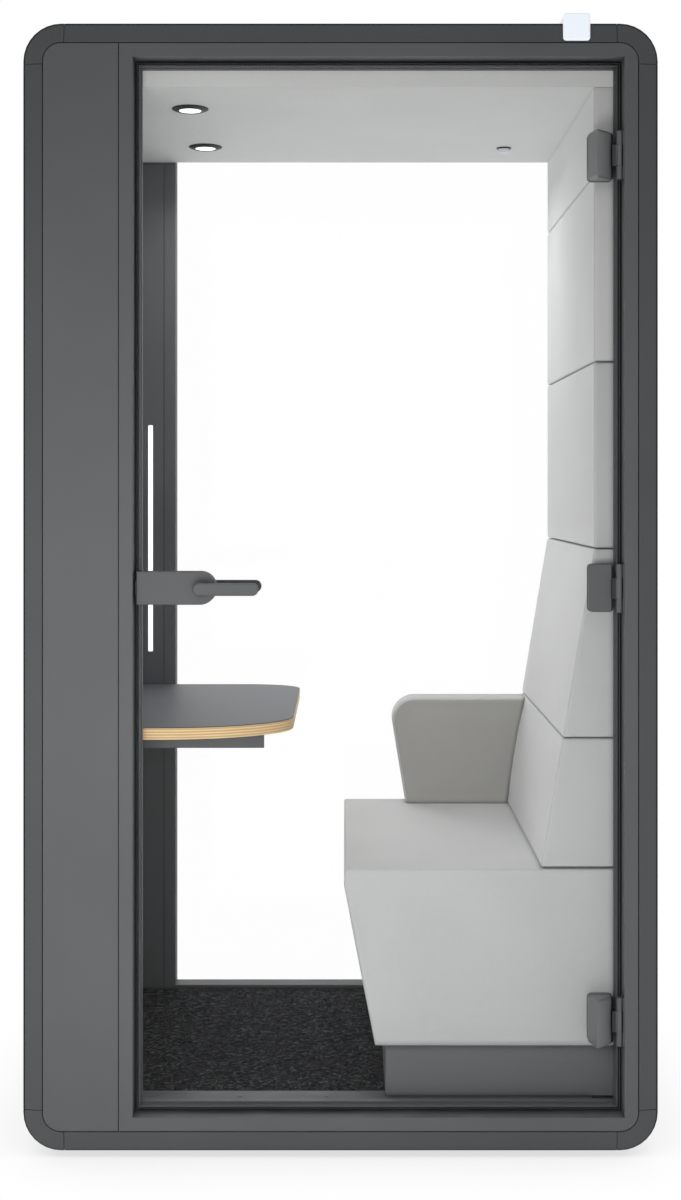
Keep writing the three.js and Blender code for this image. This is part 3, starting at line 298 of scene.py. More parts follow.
def plywood_table():
    """A grey laminate on top and plies of birch at the edge, laid by height."""
    made, tree, shader, place = material("ply_and_laminate")
    low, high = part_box("table_top")
    heights = node(tree, "ShaderNodeSeparateXYZ")
    link(tree, (place, heights.inputs[0]))
    up = math_node(tree, "SUBTRACT", heights.outputs[2], low[2])
    plies = 9
    turn = 2 * math.pi * plies / 2 / (high[2] - low[2])
    band = math_node(tree, "SINE", math_node(tree, "MULTIPLY", up, turn))
    stretch = node(tree, "ShaderNodeVectorMath", operation="MULTIPLY")
    stretch.inputs[1].default_value = (18.0, 18.0, 260.0)
    link(tree, (place, stretch.inputs[0]))
    fibre = noise(tree, stretch.outputs[0], 1.0, 5.0, 0.6)
    wood = mix_color(tree, ramp(tree, band, -0.25, 0.25), (0.735, 0.468, 0.216), (1.0, 0.776, 0.453))
    wood = mix_color(tree, ramp(tree, fibre, 0.3, 0.75, 0.0, 0.4), wood, (0.70, 0.447, 0.216))
    glue = ramp(tree, math_node(tree, "ABSOLUTE", band), 0.0, 0.16, 0.45, 0.0)
    wood = mix_color(tree, glue, wood, (0.30, 0.16, 0.06))
    top = ramp(tree, heights.outputs[2], high[2] - 0.0021, high[2] - 0.0019)
    speck = noise(tree, place, 700.0, 2.0)
    facing = node(tree, "ShaderNodeSeparateXYZ")
    link(tree, (node(tree, "ShaderNodeNewGeometry").outputs["True Normal"], facing.inputs[0]))
    laminate = mix_color(tree, ramp(tree, speck, 0.3, 0.7), (0.112, 0.123, 0.135), (0.130, 0.142, 0.155))
    laminate = mix_color(tree, ramp(tree, facing.outputs[2], 0.5, 0.9), (0.045, 0.052, 0.068), laminate)
    link(tree, (mix_color(tree, top, wood, laminate), shader.inputs["Base Color"]))
    shader.inputs["Roughness"].default_value = 0.5
    return made


def domed_sensor(name, dome_r):
    """A white dome in a black ring, told apart by the distance from the sensor's axis."""
    made, tree, shader, place = material("sensor_dome")
    low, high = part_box(name)
    across = node(tree, "ShaderNodeVectorMath", operation="SUBTRACT")
    across.inputs[1].default_value = ((low[0] + high[0]) / 2, (low[1] + high[1]) / 2, 0.0)
    flat = node(tree, "ShaderNodeVectorMath", operation="MULTIPLY")
    flat.inputs[1].default_value = (1.0, 1.0, 0.0)
    reach = node(tree, "ShaderNodeVectorMath", operation="LENGTH")
    link(tree, (place, across.inputs[0]), (across.outputs[0], flat.inputs[0]), (flat.outputs[0], reach.inputs[0]))
    ring = ramp(tree, reach.outputs["Value"], dome_r, dome_r * 1.03)
    link(tree, (mix_color(tree, ring, (0.80, 0.83, 0.88), (0.012, 0.012, 0.013)), shader.inputs["Base Color"]))
    shader.inputs["Roughness"].default_value = 0.3
    return made


def clear_glass(name, edge, mirror):
    """A clear pane: what is behind shows straight through its faces, tinted through its cut edges."""
    made, tree, shader, _ = material(name)
    tree.nodes.remove(shader)
    clear = node(tree, "ShaderNodeBsdfTransparent")
    facing = node(tree, "ShaderNodeSeparateXYZ")
    link(tree, (node(tree, "ShaderNodeTexCoord").outputs["Normal"], facing.inputs[0]))
    across = ramp(tree, math_node(tree, "ABSOLUTE", facing.outputs[1]), 0.4, 0.6)
    link(tree, (mix_color(tree, across, edge, (1.0, 1.0, 1.0)), clear.inputs["Color"]))
    shine = node(tree, "ShaderNodeBsdfGlossy")
    shine.inputs["Roughness"].default_value = 0.02
    rim = node(tree, "ShaderNodeFresnel")
    rim.inputs["IOR"].default_value = 1.5
    both = node(tree, "ShaderNodeMixShader")
    link(tree, (math_node(tree, "MULTIPLY", rim.outputs[0], mirror), both.inputs[0]), (clear.outputs[0], both.inputs[1]),
         (shine.outputs[0], both.inputs[2]), (both.outputs[0], tree.nodes["Material Output"].inputs["Surface"]))
    return made


def glowing(name, color, strength):
    made, tree, shader, _ = material(name)
    shader.inputs["Base Color"].default_value = (*color, 1.0)
    shader.inputs["Emission Color"].default_value = (*color, 1.0)
    shader.inputs["Emission Strength"].default_value = strength
    return made


def painted_edge_shade(made, width, corner_r):
    """Painted shade: a dark line along the rounded outline of the pod's front, standing in for the shade on its
    rounded edge, weaker near the floor.
    """
    tree = made.node_tree
    shader = tree.nodes["Principled BSDF"]
    left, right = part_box("front_rail_left")[0][0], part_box("front_rail_right")[1][0]
    bottom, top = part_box("front_rail_bottom")[0][2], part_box("front_rail_top")[1][2]
    place = node(tree, "ShaderNodeSeparateXYZ")
    link(tree, (node(tree, "ShaderNodeTexCoord").outputs["Object"], place.inputs[0]))
    beyond = node(tree, "ShaderNodeCombineXYZ")
    for axis, low, high in ((0, left, right), (2, bottom, top)):
        off = math_node(tree, "ABSOLUTE", math_node(tree, "SUBTRACT", place.outputs[axis], (low + high) / 2))
        past = math_node(tree, "SUBTRACT", off, (high - low) / 2 - corner_r)
        link(tree, (math_node(tree, "MAXIMUM", past, 0.0), beyond.inputs[axis]))
    reach = node(tree, "ShaderNodeVectorMath", operation="LENGTH")
    link(tree, (beyond.outputs[0], reach.inputs[0]))
    near = ramp(tree, reach.outputs["Value"], corner_r - width * 1.1, corner_r - width * 0.9)
    ahead = ramp(tree, place.outputs[1], FRONT + 0.007, FRONT + 0.008, 1.0, 0.0)
    raised = ramp(tree, place.outputs[2], bottom + 0.01, bottom + 0.1, 0.4, 1.0)
    mask = math_node(tree, "MULTIPLY", math_node(tree, "MULTIPLY", near, ahead), raised)
    before = shader.inputs["Base Color"].links[0].from_socket
    link(tree, (mix_color(tree, mask, before, (0.008, 0.008, 0.009)), shader.inputs["Base Color"]))
    return made


def hinge_coat(name, plate, web_shade, knuckle):
    """The door's part of a hinge: a plate or cover over the glass, a web painted near black as shade and a knuckle,
    told apart by x.
    """
    made = coated(name, knuckle, 0.42, 1600.0, 0.00002, 0.05, 0.2, hollow_shade=0.6)
    tree = made.node_tree
    shader = tree.nodes["Principled BSDF"]
    place = node(tree, "ShaderNodeSeparateXYZ")
    link(tree, (node(tree, "ShaderNodeTexCoord").outputs["Object"], place.inputs[0]))
    tone = shader.inputs["Base Color"].links[0].from_socket
    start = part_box("hinge_door_leaf_top")[0][0]
    for color, reach in ((web_shade, WEB_END), (plate, PLATE_END)):
        before = ramp(tree, place.outputs[0], start + reach - 0.0005, start + reach + 0.0005, 1.0, 0.0)
        tone = mix_color(tree, before, tone, color)
    link(tree, (tone, shader.inputs["Base Color"]))
    return made


PLATE_END, WEB_END = 0.045, 0.0525  # along the hinge, from the free edge of its plate
GRAPHITE = (0.138, 0.144, 0.149)
# The hollow strength of each finish sets how dark its painted shade in seams, grooves and corners gets.
PAINT = coated("graphite_powder_coat", GRAPHITE, 0.55, spread=0.05, gloss=0.25, hollow_shade=0.85)
PANEL = coated("panel_powder_coat", GRAPHITE, 0.55, spread=0.05, gloss=0.25, hollow_shade=0.35)
FRAME = coated("frame_powder_coat", GRAPHITE, 0.55, spread=0.05, gloss=0.25, hollow_shade=0.55, reach=0.02)
# The graphite at 0.86 of its tone: painted shade on the rear side panel and the window frame.
INNER = coated("inner_panel_shaded_coat", tuple(c * 0.86 for c in GRAPHITE), 0.55, spread=0.05, gloss=0.25, hollow_shade=0.6)
# The graphite at 1.25 of its tone: painted light on the seat plinth.
LIT_PLINTH = coated("plinth_lit_coat", tuple(c * 1.25 for c in GRAPHITE), 0.55, spread=0.05, gloss=0.25, hollow_shade=0.6)
# the band gets a painted dark line of edge shade along the front's outline
BAND = painted_edge_shade(coated("band_powder_coat", (0.101, 0.106, 0.110), 0.55, spread=0.05, gloss=0.25, hollow_shade=0.85),
                    0.0034, 0.075)
METAL = coated("dark_hardware", (0.112, 0.116, 0.120), 0.42, 1600.0, 0.00002, 0.05, 0.2, hollow_shade=0.6)
# the second colour is the hinge web's painted shade
COVER = hinge_coat("closer_cover", (0.205, 0.21, 0.213), (0.02, 0.02, 0.022), (0.125, 0.129, 0.133))
HINGE = hinge_coat("hinge_plate", (0.112, 0.116, 0.120), (0.02, 0.02, 0.022), (0.125, 0.129, 0.133))
INNER_METAL = coated("inner_hardware", (0.05, 0.052, 0.055), 0.42, 1600.0, 0.00002, 0.05, 0.2)
SILL = coated("satin_sill", (0.076, 0.082, 0.087), 0.45, 600.0, 0.00001, 0.08, 0.4, hollow_shade=0.85, reach=0.006)
BLACK = coated("black_plastic", (0.012, 0.012, 0.014), 0.45, 1500.0, 0.00002, 0.1, gloss=0.2)
SEAL = coated("ribbed_seal", (0.108, 0.112, 0.116), 0.6, 1200.0, 0.00002, 0.1, dust=0.0, gloss=0.25,
              hollow_shade=0.7, reach=0.008, own=True)
FELT = upholstery("wool_felt", (0.70, 0.71, 0.705), 0.0042, 0.0004)
# The armrest's felt gets a warm painted shade on its face towards the door.
SHADED_ARM_FELT = upholstery("arm_felt_painted_shade", (0.70, 0.71, 0.705), 0.0042, 0.0004, (0.675, 0.655, 0.635))
TOP_FELT = upholstery("top_pad_felt", (0.70, 0.71, 0.705), 0.0042, 0.0004, hollow_shade=0.2)
CEILING_FELT = upholstery("ceiling_felt", (0.71, 0.72, 0.715), 0.0042, 0.0003, hollow_shade=0.1)
THREAD = coated("sewing_thread", (0.52, 0.53, 0.53), 0.8, 2500.0, 0.00002, 0.05, dust=0.0)
PILE = pile_carpet()
TABLE = plywood_table()
DOOR_PANE = clear_glass("door_pane", (0.72, 0.84, 0.81), 0.15)
REAR_PANE = clear_glass("rear_pane", (0.72, 0.84, 0.81), 0.15)
LED = glowing("led_lens", (1.0, 1.0, 1.0), 1.0)
SENSOR = domed_sensor("motion_sensor", 0.0127)
BEACON = glowing("beacon_diffuser", (0.86, 0.91, 0.97), 0.5)


# CAD nodes that show as they are: finish and softened edges


def round_over(obj, width):
    """Softens hard edges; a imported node's triangles are loose, so they are joined first."""
    joined = obj.modifiers.new("joined", "WELD")
    joined.merge_threshold = 1e-5
    soft = obj.modifiers.new("soft_edges", "BEVEL")
    soft.width = width
    soft.segments = 2
    soft.limit_method = "ANGLE"
    soft.angle_limit = math.radians(30)
    soft.harden_normals = True
    soft.use_clamp_overlap = True


def paint(names, finish, edge=0.0):
    for name in names:
        obj = nodes[name]
        obj.data.materials.clear()
        obj.data.materials.append(finish)
        if edge:
            round_over(obj, edge)


paint(FACES, PAINT, 0.0003)
paint(["front_side_panel"], PANEL, 0.0003)
paint(BANDS, BAND, 0.0003)
paint(["door_frame"], FRAME, 0.0004)
paint(["rear_side_panel", "rear_window_frame"], INNER, 0.0006)
paint(["seat_plinth"], LIT_PLINTH, 0.0008)
paint(["table_support"], PAINT, 0.0008)
paint(HARDWARE, METAL, 0.0006)
paint(FRAME_LEAVES, METAL, 0.001)
paint(["hinge_door_leaf_top", "hinge_door_leaf_bottom"], COVER, 0.001)
paint(["hinge_door_leaf_middle"], HINGE, 0.001)
paint(["lever_inner", "lock_plate_inner"], INNER_METAL, 0.0006)
paint(["threshold"], SILL, 0.0006)
paint(["carpet"], PILE)
paint(["table_top"], TABLE)
paint(["beacon"], BEACON, 0.0015)
paint(["motion_sensor"], SENSOR)
paint(["downlight_front", "downlight_rear", "fan_housing", "fan_rotor"], BLACK, 0.0004)
paint(["door_glass"], DOOR_PANE)
paint(["rear_glass"], REAR_PANE)
paint(["light_strip"], LED)
# New pieces: every one sits at the origin with its place in its mesh


def piece(name, mesh, body, slot, *stands_for):
    obj = bpy.data.objects.new(name, mesh)
    scene.collection.objects.link(obj)
    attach(obj, body)
    if stands_for:
        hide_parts(*stands_for)
    return obj


def smooth(mesh):
    mesh.polygons.foreach_set("use_smooth", [True] * len(mesh.polygons))


def plain_mesh(name, points, faces, finish):
    mesh = bpy.data.meshes.new(name)
    mesh.from_pydata(points, [], faces)
    mesh.materials.append(finish)
    mesh.validate()
    return mesh


# Upholstery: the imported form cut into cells, its shown faces filled out as cloth under pressure

CELL = 0.012
SEWN_MARGIN = 0.006  # cloth is held this close to a sewn edge
FREE_MARGIN = 0.030  # and moves freely this far from it
TUCK = 0.0012  # how far the shown face is pressed in before it fills out
LEAST_FOLD = math.radians(8)
PAD_ROUNDING = 0.0052  # height of a pad's rounded upper edge
BUTT_GAP = 0.0002  # left under the ceiling
BUTT_SHARE = 0.2  # of the rounding's height, kept where a pad butts against the ceiling


def cells_of(name, edge):
    """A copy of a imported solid, its hard edges rounded, cut into small cells."""
    form = bmesh.new()
    form.from_mesh(nodes[name].data)
    bmesh.ops.remove_doubles(form, verts=form.verts, dist=1e-6)
    bmesh.ops.dissolve_limit(form, angle_limit=math.radians(0.3), verts=form.verts, edges=form.edges)
    if edge:
        hard = [e for e in form.edges if len(e.link_faces) == 2 and e.calc_face_angle() > math.radians(40)]
        bmesh.ops.bevel(form, geom=hard, offset=edge, segments=3, profile=0.5, affect="EDGES", clamp_overlap=True)
    low, high = (Vector(corner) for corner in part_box(name))
    for axis in range(3):
        across = Vector([float(i == axis) for i in range(3)])
        count = max(1, round((high[axis] - low[axis]) / CELL))
        for i in range(1, count):
            at = low.lerp(high, i / count)
            everything = form.verts[:] + form.edges[:] + form.faces[:]
            bmesh.ops.bisect_plane(form, geom=everything, dist=1e-6, plane_co=at, plane_no=across)
    form.normal_update()
    return form


def held_share(form, shown):
    """For each point, 1 where the cloth is sewn or hidden and 0 where a shown face can fill out."""
    folds = [v for v in form.verts if any(e.is_manifold and e.calc_face_angle() > LEAST_FOLD for e in v.link_edges)]
    near = KDTree(len(folds))
    for i, v in enumerate(folds):
        near.insert(v.co, i)
    near.balance()
    shares = []
    for v in form.verts:
        faces_out = any(v.normal.dot(Vector(way)) > 0.8 for way in shown)
        reach = near.find(v.co)[2] if faces_out else 0.0
        free = min(1.0, max(0.0, (reach - SEWN_MARGIN) / (FREE_MARGIN - SEWN_MARGIN)))
        shares.append(1.0 - free * free * (3.0 - 2.0 * free))
    return shares


def butt_up(form, top, above):
    """Presses a pad's rounded upper edge nearly flat, close under what lies above it."""
    for v in form.verts:
        depth = top - v.co.z
        if depth < PAD_ROUNDING:
            v.co.z = above - BUTT_GAP - depth * BUTT_SHARE
    form.normal_update()


def cushion(name, shown, cap, edge=0.0, finish=FELT, under=None):
    """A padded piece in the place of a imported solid, ready to fill out by at most cap."""
    form = cells_of(name, edge)
    if under:
        butt_up(form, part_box(name)[1][2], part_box(under)[0][2])
    shares = held_share(form, shown)
    for v, held in zip(form.verts, shares):
        v.co -= v.normal * TUCK * (1.0 - held)
    mesh = bpy.data.meshes.new(name + "_cover")
    form.to_mesh(mesh)
    form.free()
    smooth(mesh)
    mesh.materials.append(finish)
    obj = piece(name + "_cover", mesh, "pod", "fabric_grey", name)
    held_group = obj.vertex_groups.new(name="held")
    for i, held in enumerate(shares):
        held_group.add([i], held, "REPLACE")
    return obj, cap


def fill_out(made, frames=20):
    """Runs all covers as cloth under pressure and keeps the shapes they take, each within its cap."""
    for obj, _ in made:
        cloth = obj.modifiers.new("cloth", "CLOTH")
        settings = cloth.settings
        settings.quality = 4
        settings.tension_stiffness = settings.compression_stiffness = 30.0
        settings.shear_stiffness = 15.0
        settings.bending_stiffness = 4.0
        settings.use_pressure = True
        settings.uniform_pressure_force = 4.0
        settings.vertex_group_mass = "held"
        settings.effector_weights.gravity = 0.0
        cloth.point_cache.frame_start, cloth.point_cache.frame_end = 1, frames
    for at in range(1, frames + 1):
        scene.frame_set(at)
    graph = bpy.context.evaluated_depsgraph_get()
    for obj, cap in made:
        mesh = obj.data
        count = len(mesh.vertices)
        start, end = np.empty(count * 3, "f"), np.empty(count * 3, "f")
        mesh.vertices.foreach_get("co", start)
        obj.evaluated_get(graph).data.vertices.foreach_get("co", end)
        move = (end - start).reshape(-1, 3)
        length = np.maximum(np.linalg.norm(move, axis=1, keepdims=True), 1e-9)
        move *= np.minimum(1.0, cap / length)
        mesh.vertices.foreach_set("co", (start.reshape(-1, 3) + move).ravel())
        obj.modifiers.remove(obj.modifiers["cloth"])
        mesh.update()
    scene.frame_set(1)


WALL_OUT, WALL_IN, UP, DOWN, TO_DOOR = (-1, 0, 0), (1, 0, 0), (0, 0, 1), (0, 0, -1), (0, -1, 0)
covers = [cushion("wall_pad_top", [WALL_OUT], 0.0035, finish=TOP_FELT, under="ceiling_panel")]
covers += [cushion(name, [WALL_OUT], 0.0035) for name in PADS[1:5]]
covers += [cushion("seat", [UP, WALL_OUT, TO_DOOR], 0.0035), cushion("armrest", [TO_DOOR, UP], 0.003, finish=SHADED_ARM_FELT)]
covers += [cushion("ceiling_panel", [DOWN], 0.002, 0.001, CEILING_FELT), cushion("left_wall_lining", [WALL_IN], 0.003, 0.002)]
fill_out(covers)
for cover, _ in covers:
    even = cover.modifiers.new("even_shading", "WEIGHTED_NORMAL")
    even.keep_sharp = False

# Door seal: ribs and a groove swept round the opening with mitred corners

SEAL_SECTION = [(0.4, 9.3), (0.4, 3.4), (0.7, 0.9), (1.3, 0.3), (2.0, 0.7), (2.5, 2.6), (3.0, 4.4), (3.8, 4.4),
                (4.2, 1.9), (4.9, 0.6), (6.2, 0.2), (7.5, 0.6), (8.3, 1.8), (8.6, 4.2), (8.7, 9.3)]


def door_seal():
    low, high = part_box("door_gasket")
    corners = [(low[0], low[2], 1, 1), (high[0], low[2], -1, 1), (high[0], high[2], -1, -1), (low[0], high[2], 1, -1)]
    points = [(x + sx * u * MM, low[1] + d * MM, z + sz * u * MM)
              for x, z, sx, sz in corners for u, d in SEAL_SECTION]
    count = len(SEAL_SECTION)
    faces = []
    for c in range(4):
        for i in range(count):
            j = (i + 1) % count
            after = (c + 1) % 4
            faces.append((c * count + i, c * count + j, after * count + j, after * count + i))
    mesh = plain_mesh("door_seal", points, faces, SEAL)
    obj = piece("door_seal", mesh, "pod", "seal", "door_gasket")
    form = bmesh.new()
    form.from_mesh(mesh)
    bmesh.ops.recalc_face_normals(form, faces=form.faces)
    form.to_mesh(mesh)
    form.free()
    round_over(obj, 0.00025)


door_seal()

# Rows and sets grown by node trees: stitches along sewn edges, screw heads on their seats


def grow_tree(name, inputs):
    tree = bpy.data.node_groups.new(name, "GeometryNodeTree")
    tree.interface.new_socket("Geometry", in_out="INPUT", socket_type="NodeSocketGeometry")
    for label, kind, value in inputs:
        socket = tree.interface.new_socket(label, in_out="INPUT", socket_type=kind)
        if value is not None:
            socket.default_value = value
    tree.interface.new_socket("Geometry", in_out="OUTPUT", socket_type="NodeSocketGeometry")
    return tree, tree.nodes.new("NodeGroupInput"), tree.nodes.new("NodeGroupOutput")


def finish_tree(tree, instances, given, result):
    """The end of every tree: real geometry with its finish."""
    real = node(tree, "GeometryNodeRealizeInstances")
    coat = node(tree, "GeometryNodeSetMaterial")
    link(tree, (instances, real.inputs[0]), (real.outputs[0], coat.inputs["Geometry"]),
         (given.outputs["Finish"], coat.inputs["Material"]), (coat.outputs[0], result.inputs[0]))


def stitch_tree():
    """Short thread lengths laid end to end along a guide line, each sunk at its ends."""
    tree, given, result = grow_tree("stitch_row", [
        ("Pitch", "NodeSocketFloat", 0.005), ("Length", "NodeSocketFloat", 0.0036),
        ("Thickness", "NodeSocketFloat", 0.0008), ("Finish", "NodeSocketMaterial", None)])
    line = node(tree, "GeometryNodeMeshToCurve")
    even = node(tree, "GeometryNodeResampleCurve", mode="LENGTH")
    along = node(tree, "GeometryNodeInputTangent")
    turn = node(tree, "FunctionNodeAlignRotationToVector", axis="Z")
    ball = node(tree, "GeometryNodeMeshUVSphere")
    ball.inputs["Segments"].default_value = 6
    ball.inputs["Rings"].default_value = 5
    ball.inputs["Radius"].default_value = 0.5
    size = node(tree, "ShaderNodeCombineXYZ")
    place = node(tree, "GeometryNodeInstanceOnPoints")
    link(tree, (given.outputs["Geometry"], line.inputs[0]), (line.outputs[0], even.inputs["Curve"]),
         (given.outputs["Pitch"], even.inputs["Length"]), (even.outputs[0], place.inputs["Points"]),
         (ball.outputs[0], place.inputs["Instance"]), (along.outputs[0], turn.inputs["Vector"]),
         (turn.outputs[0], place.inputs["Rotation"]), (given.outputs["Thickness"], size.inputs[0]),
         (given.outputs["Thickness"], size.inputs[1]), (given.outputs["Length"], size.inputs[2]),
         (size.outputs[0], place.inputs["Scale"]))
    finish_tree(tree, place.outputs[0], given, result)
    return tree


def screw_tree():
    """Socket-head screws: a low round head with a six-sided recess, facing the way stored on each point."""
    tree, given, result = grow_tree("screw_heads", [
        ("Head", "NodeSocketFloat", 0.0045), ("Height", "NodeSocketFloat", 0.0016),
        ("Finish", "NodeSocketMaterial", None)])
    facing = node(tree, "GeometryNodeInputNamedAttribute", data_type="FLOAT_VECTOR")
    facing.inputs["Name"].default_value = "facing"
    turn = node(tree, "FunctionNodeAlignRotationToVector", axis="Z")
    head = node(tree, "GeometryNodeMeshCylinder", fill_type="NGON")
    head.inputs["Vertices"].default_value = 24
    recess = node(tree, "GeometryNodeMeshCylinder", fill_type="NGON")
    recess.inputs["Vertices"].default_value = 6
    recess_r = node(tree, "ShaderNodeMath", operation="MULTIPLY")
    recess_r.inputs[1].default_value = 0.5
    lift = node(tree, "ShaderNodeCombineXYZ")
    move = node(tree, "GeometryNodeTransform")
    cut = node(tree, "GeometryNodeMeshBoolean", operation="DIFFERENCE")
    points = node(tree, "GeometryNodeMeshToPoints")
    place = node(tree, "GeometryNodeInstanceOnPoints")
    link(tree, (given.outputs["Head"], head.inputs["Radius"]), (given.outputs["Height"], head.inputs["Depth"]),
         (given.outputs["Head"], recess_r.inputs[0]), (recess_r.outputs[0], recess.inputs["Radius"]),
         (given.outputs["Height"], recess.inputs["Depth"]), (given.outputs["Height"], lift.inputs[2]),
         (recess.outputs["Mesh"], move.inputs["Geometry"]), (lift.outputs[0], move.inputs["Translation"]),
         (head.outputs["Mesh"], cut.inputs["Mesh 1"]), (move.outputs[0], cut.inputs["Mesh 2"]),
         (given.outputs["Geometry"], points.inputs["Mesh"]), (points.outputs[0], place.inputs["Points"]),
         (cut.outputs[0], place.inputs["Instance"]), (facing.outputs["Attribute"], turn.inputs["Vector"]),
         (turn.outputs[0], place.inputs["Rotation"]))
    finish_tree(tree, place.outputs[0], given, result)
    return tree


def grown(name, tree, guide_mesh, **values):
    """The mesh that a tree makes on a guide, with the tree's named inputs set."""
    guide = bpy.data.objects.new(name + "_guide", guide_mesh)
    scene.collection.objects.link(guide)
    grow = guide.modifiers.new("grow", "NODES")
    grow.node_group = tree
    for item in tree.interface.items_tree:
        if item.item_type == "SOCKET" and item.in_out == "INPUT" and item.name in values:
            grow[item.identifier] = values[item.name]
    graph = bpy.context.evaluated_depsgraph_get()
    mesh = bpy.data.meshes.new_from_object(guide.evaluated_get(graph))
    mesh.name = name
    guide.modifiers.remove(grow)
    bpy.data.objects.remove(guide)
    return mesh


STITCHES, SCREWS = stitch_tree(), screw_tree()


def sewn_lines():
    """Guide lines on the rounded front edges of the wall and back pads and along the seat's edges."""
    points, edges = [], []

    def lay(cover, ends, count):
        skin = BVHTree.FromObject(cover, bpy.context.evaluated_depsgraph_get())
        first = len(points)
        for i in range(count + 1):
            guess = Vector(ends[0]).lerp(Vector(ends[1]), i / count)
            points.append(skin.find_nearest(guess)[0])
        edges.extend((k, k + 1) for k in range(first, first + count))

    by_name = {cover.name: cover for cover, _ in covers}
    for name in PADS[:5]:
        cover = by_name[name + "_cover"]
        low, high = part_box(name)
        skin = BVHTree.FromObject(cover, bpy.context.evaluated_depsgraph_get())
        ends = []
        for z in (low[2] + 0.008, high[2] - 0.008):
            hit = skin.ray_cast(Vector((low[0] - 0.1, low[1] + 0.02, z)), Vector((1.0, 0.0, 0.0)))[0]
            ends.append((hit[0], low[1], z))
        lay(cover, ends, 24)
    seat = by_name["seat_cover"]
    low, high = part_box("seat")
    lay(seat, [(low[0] + 0.008, low[1], high[2]), (high[0] - 0.09, low[1], high[2])], 40)
    lay(seat, [(low[0], low[1] + 0.008, high[2]), (low[0], high[1] - 0.008, high[2])], 60)
    mesh = bpy.data.meshes.new("sewn_lines")
    mesh.from_pydata(points, edges, [])
    return mesh


piece("stitches", grown("stitches", STITCHES, sewn_lines(), Pitch=0.0048, Length=0.0034, Thickness=0.0009,
                        Finish=THREAD), "pod", "fabric_grey")


def screw_guide(name, seats):
    """Points with the way that each screw faces."""
    mesh = bpy.data.meshes.new(name)
    mesh.from_pydata([at for at, _ in seats], [], [])
    ways = mesh.attributes.new("facing", "FLOAT_VECTOR", "POINT")
    ways.data.foreach_set("vector", [c for _, way in seats for c in way])
    return mesh


def screw_seats():
    """Where screws show on the door and on the pod."""
    rise = 0.0006
    on_door, on_pod = [], []
    for level in ("bottom", "middle", "top"):
        low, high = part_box("hinge_door_leaf_" + level)
        mid = (low[2] + high[2]) / 2
        on_door += [((low[0] + 0.02475, high[1] + rise, mid + s * 0.025), (0, 1, 0)) for s in (-1, 1)]
    low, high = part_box("lock_plate_inner")
    mid = (low[2] + high[2]) / 2
    on_door += [((low[0] + 0.014, high[1] + rise, mid + s * 0.021), (0, 1, 0)) for s in (-1, 1)]
    low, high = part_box("strike_plate")
    mid = (low[1] + high[1]) / 2
    on_pod += [((high[0] + 0.0001, mid, z), (1, 0, 0)) for z in (low[2] + 0.010, high[2] - 0.010)]
    low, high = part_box("threshold")
    on_pod += [((low[0] + t * 0.49 * (high[0] - low[0]), (low[1] + high[1]) / 2, high[2] + 0.0001), (0, 0, 1))
               for t in (0.12, 0.5, 0.88)]
    low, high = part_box("table_support")
    on_pod += [((x, y, low[2] - rise), (0, 0, -1)) for x in (low[0] + 0.06, high[0] - 0.05)
               for y in (low[1] + 0.05, high[1] - 0.05)]
    low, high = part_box("roof_panel")
    on_pod += [((x, y, high[2] + 0.0003), (0, 0, 1)) for x in (low[0] + 0.04, (low[0] + high[0]) / 2, high[0] - 0.04)
               for y in (low[1] + 0.04, high[1] - 0.04)]
    return on_door, on_pod


for body, seats in zip(("door", "pod"), screw_seats()):
    heads = grown(body + "_screws", SCREWS, screw_guide(body + "_screw_seats", seats), Head=0.0042, Height=0.0014,
                  Finish=METAL)
    piece(body + "_screws", heads, body, "hardware")


def light_lens(name, shows_in):
    """A slightly domed lens in a downlight's ring."""
    low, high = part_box(shows_in)
    cx, cy = (low[0] + high[0]) / 2, (low[1] + high[1]) / 2
    around, rings = 48, 6
    points = [(cx, cy, low[2] + 0.0002)]
    for r in range(1, rings + 1):
        share = r / rings
        points += [(cx + LENS_R * share * math.cos(2 * math.pi * i / around),
                    cy + LENS_R * share * math.sin(2 * math.pi * i / around), low[2] + 0.0002 + 0.0006 * share ** 2)
                   for i in range(around)]
    faces = [(0, 1 + (i + 1) % around, 1 + i) for i in range(around)]
    for r in range(1, rings):
        a, b = 1 + (r - 1) * around, 1 + r * around
        faces += [(a + i, a + (i + 1) % around, b + (i + 1) % around, b + i) for i in range(around)]
    mesh = plain_mesh(name, points, faces, LED)
    smooth(mesh)
    piece(name, mesh, "pod", "white_plastic")


LENS_R = 0.0234
for which in ("front", "rear"):
    light_lens("lens_" + which, "downlight_" + which)

# Stage, light and camera

HORIZON, ZENITH = 0.0, 0.5
WARM = (1.0, 0.98, 0.95)


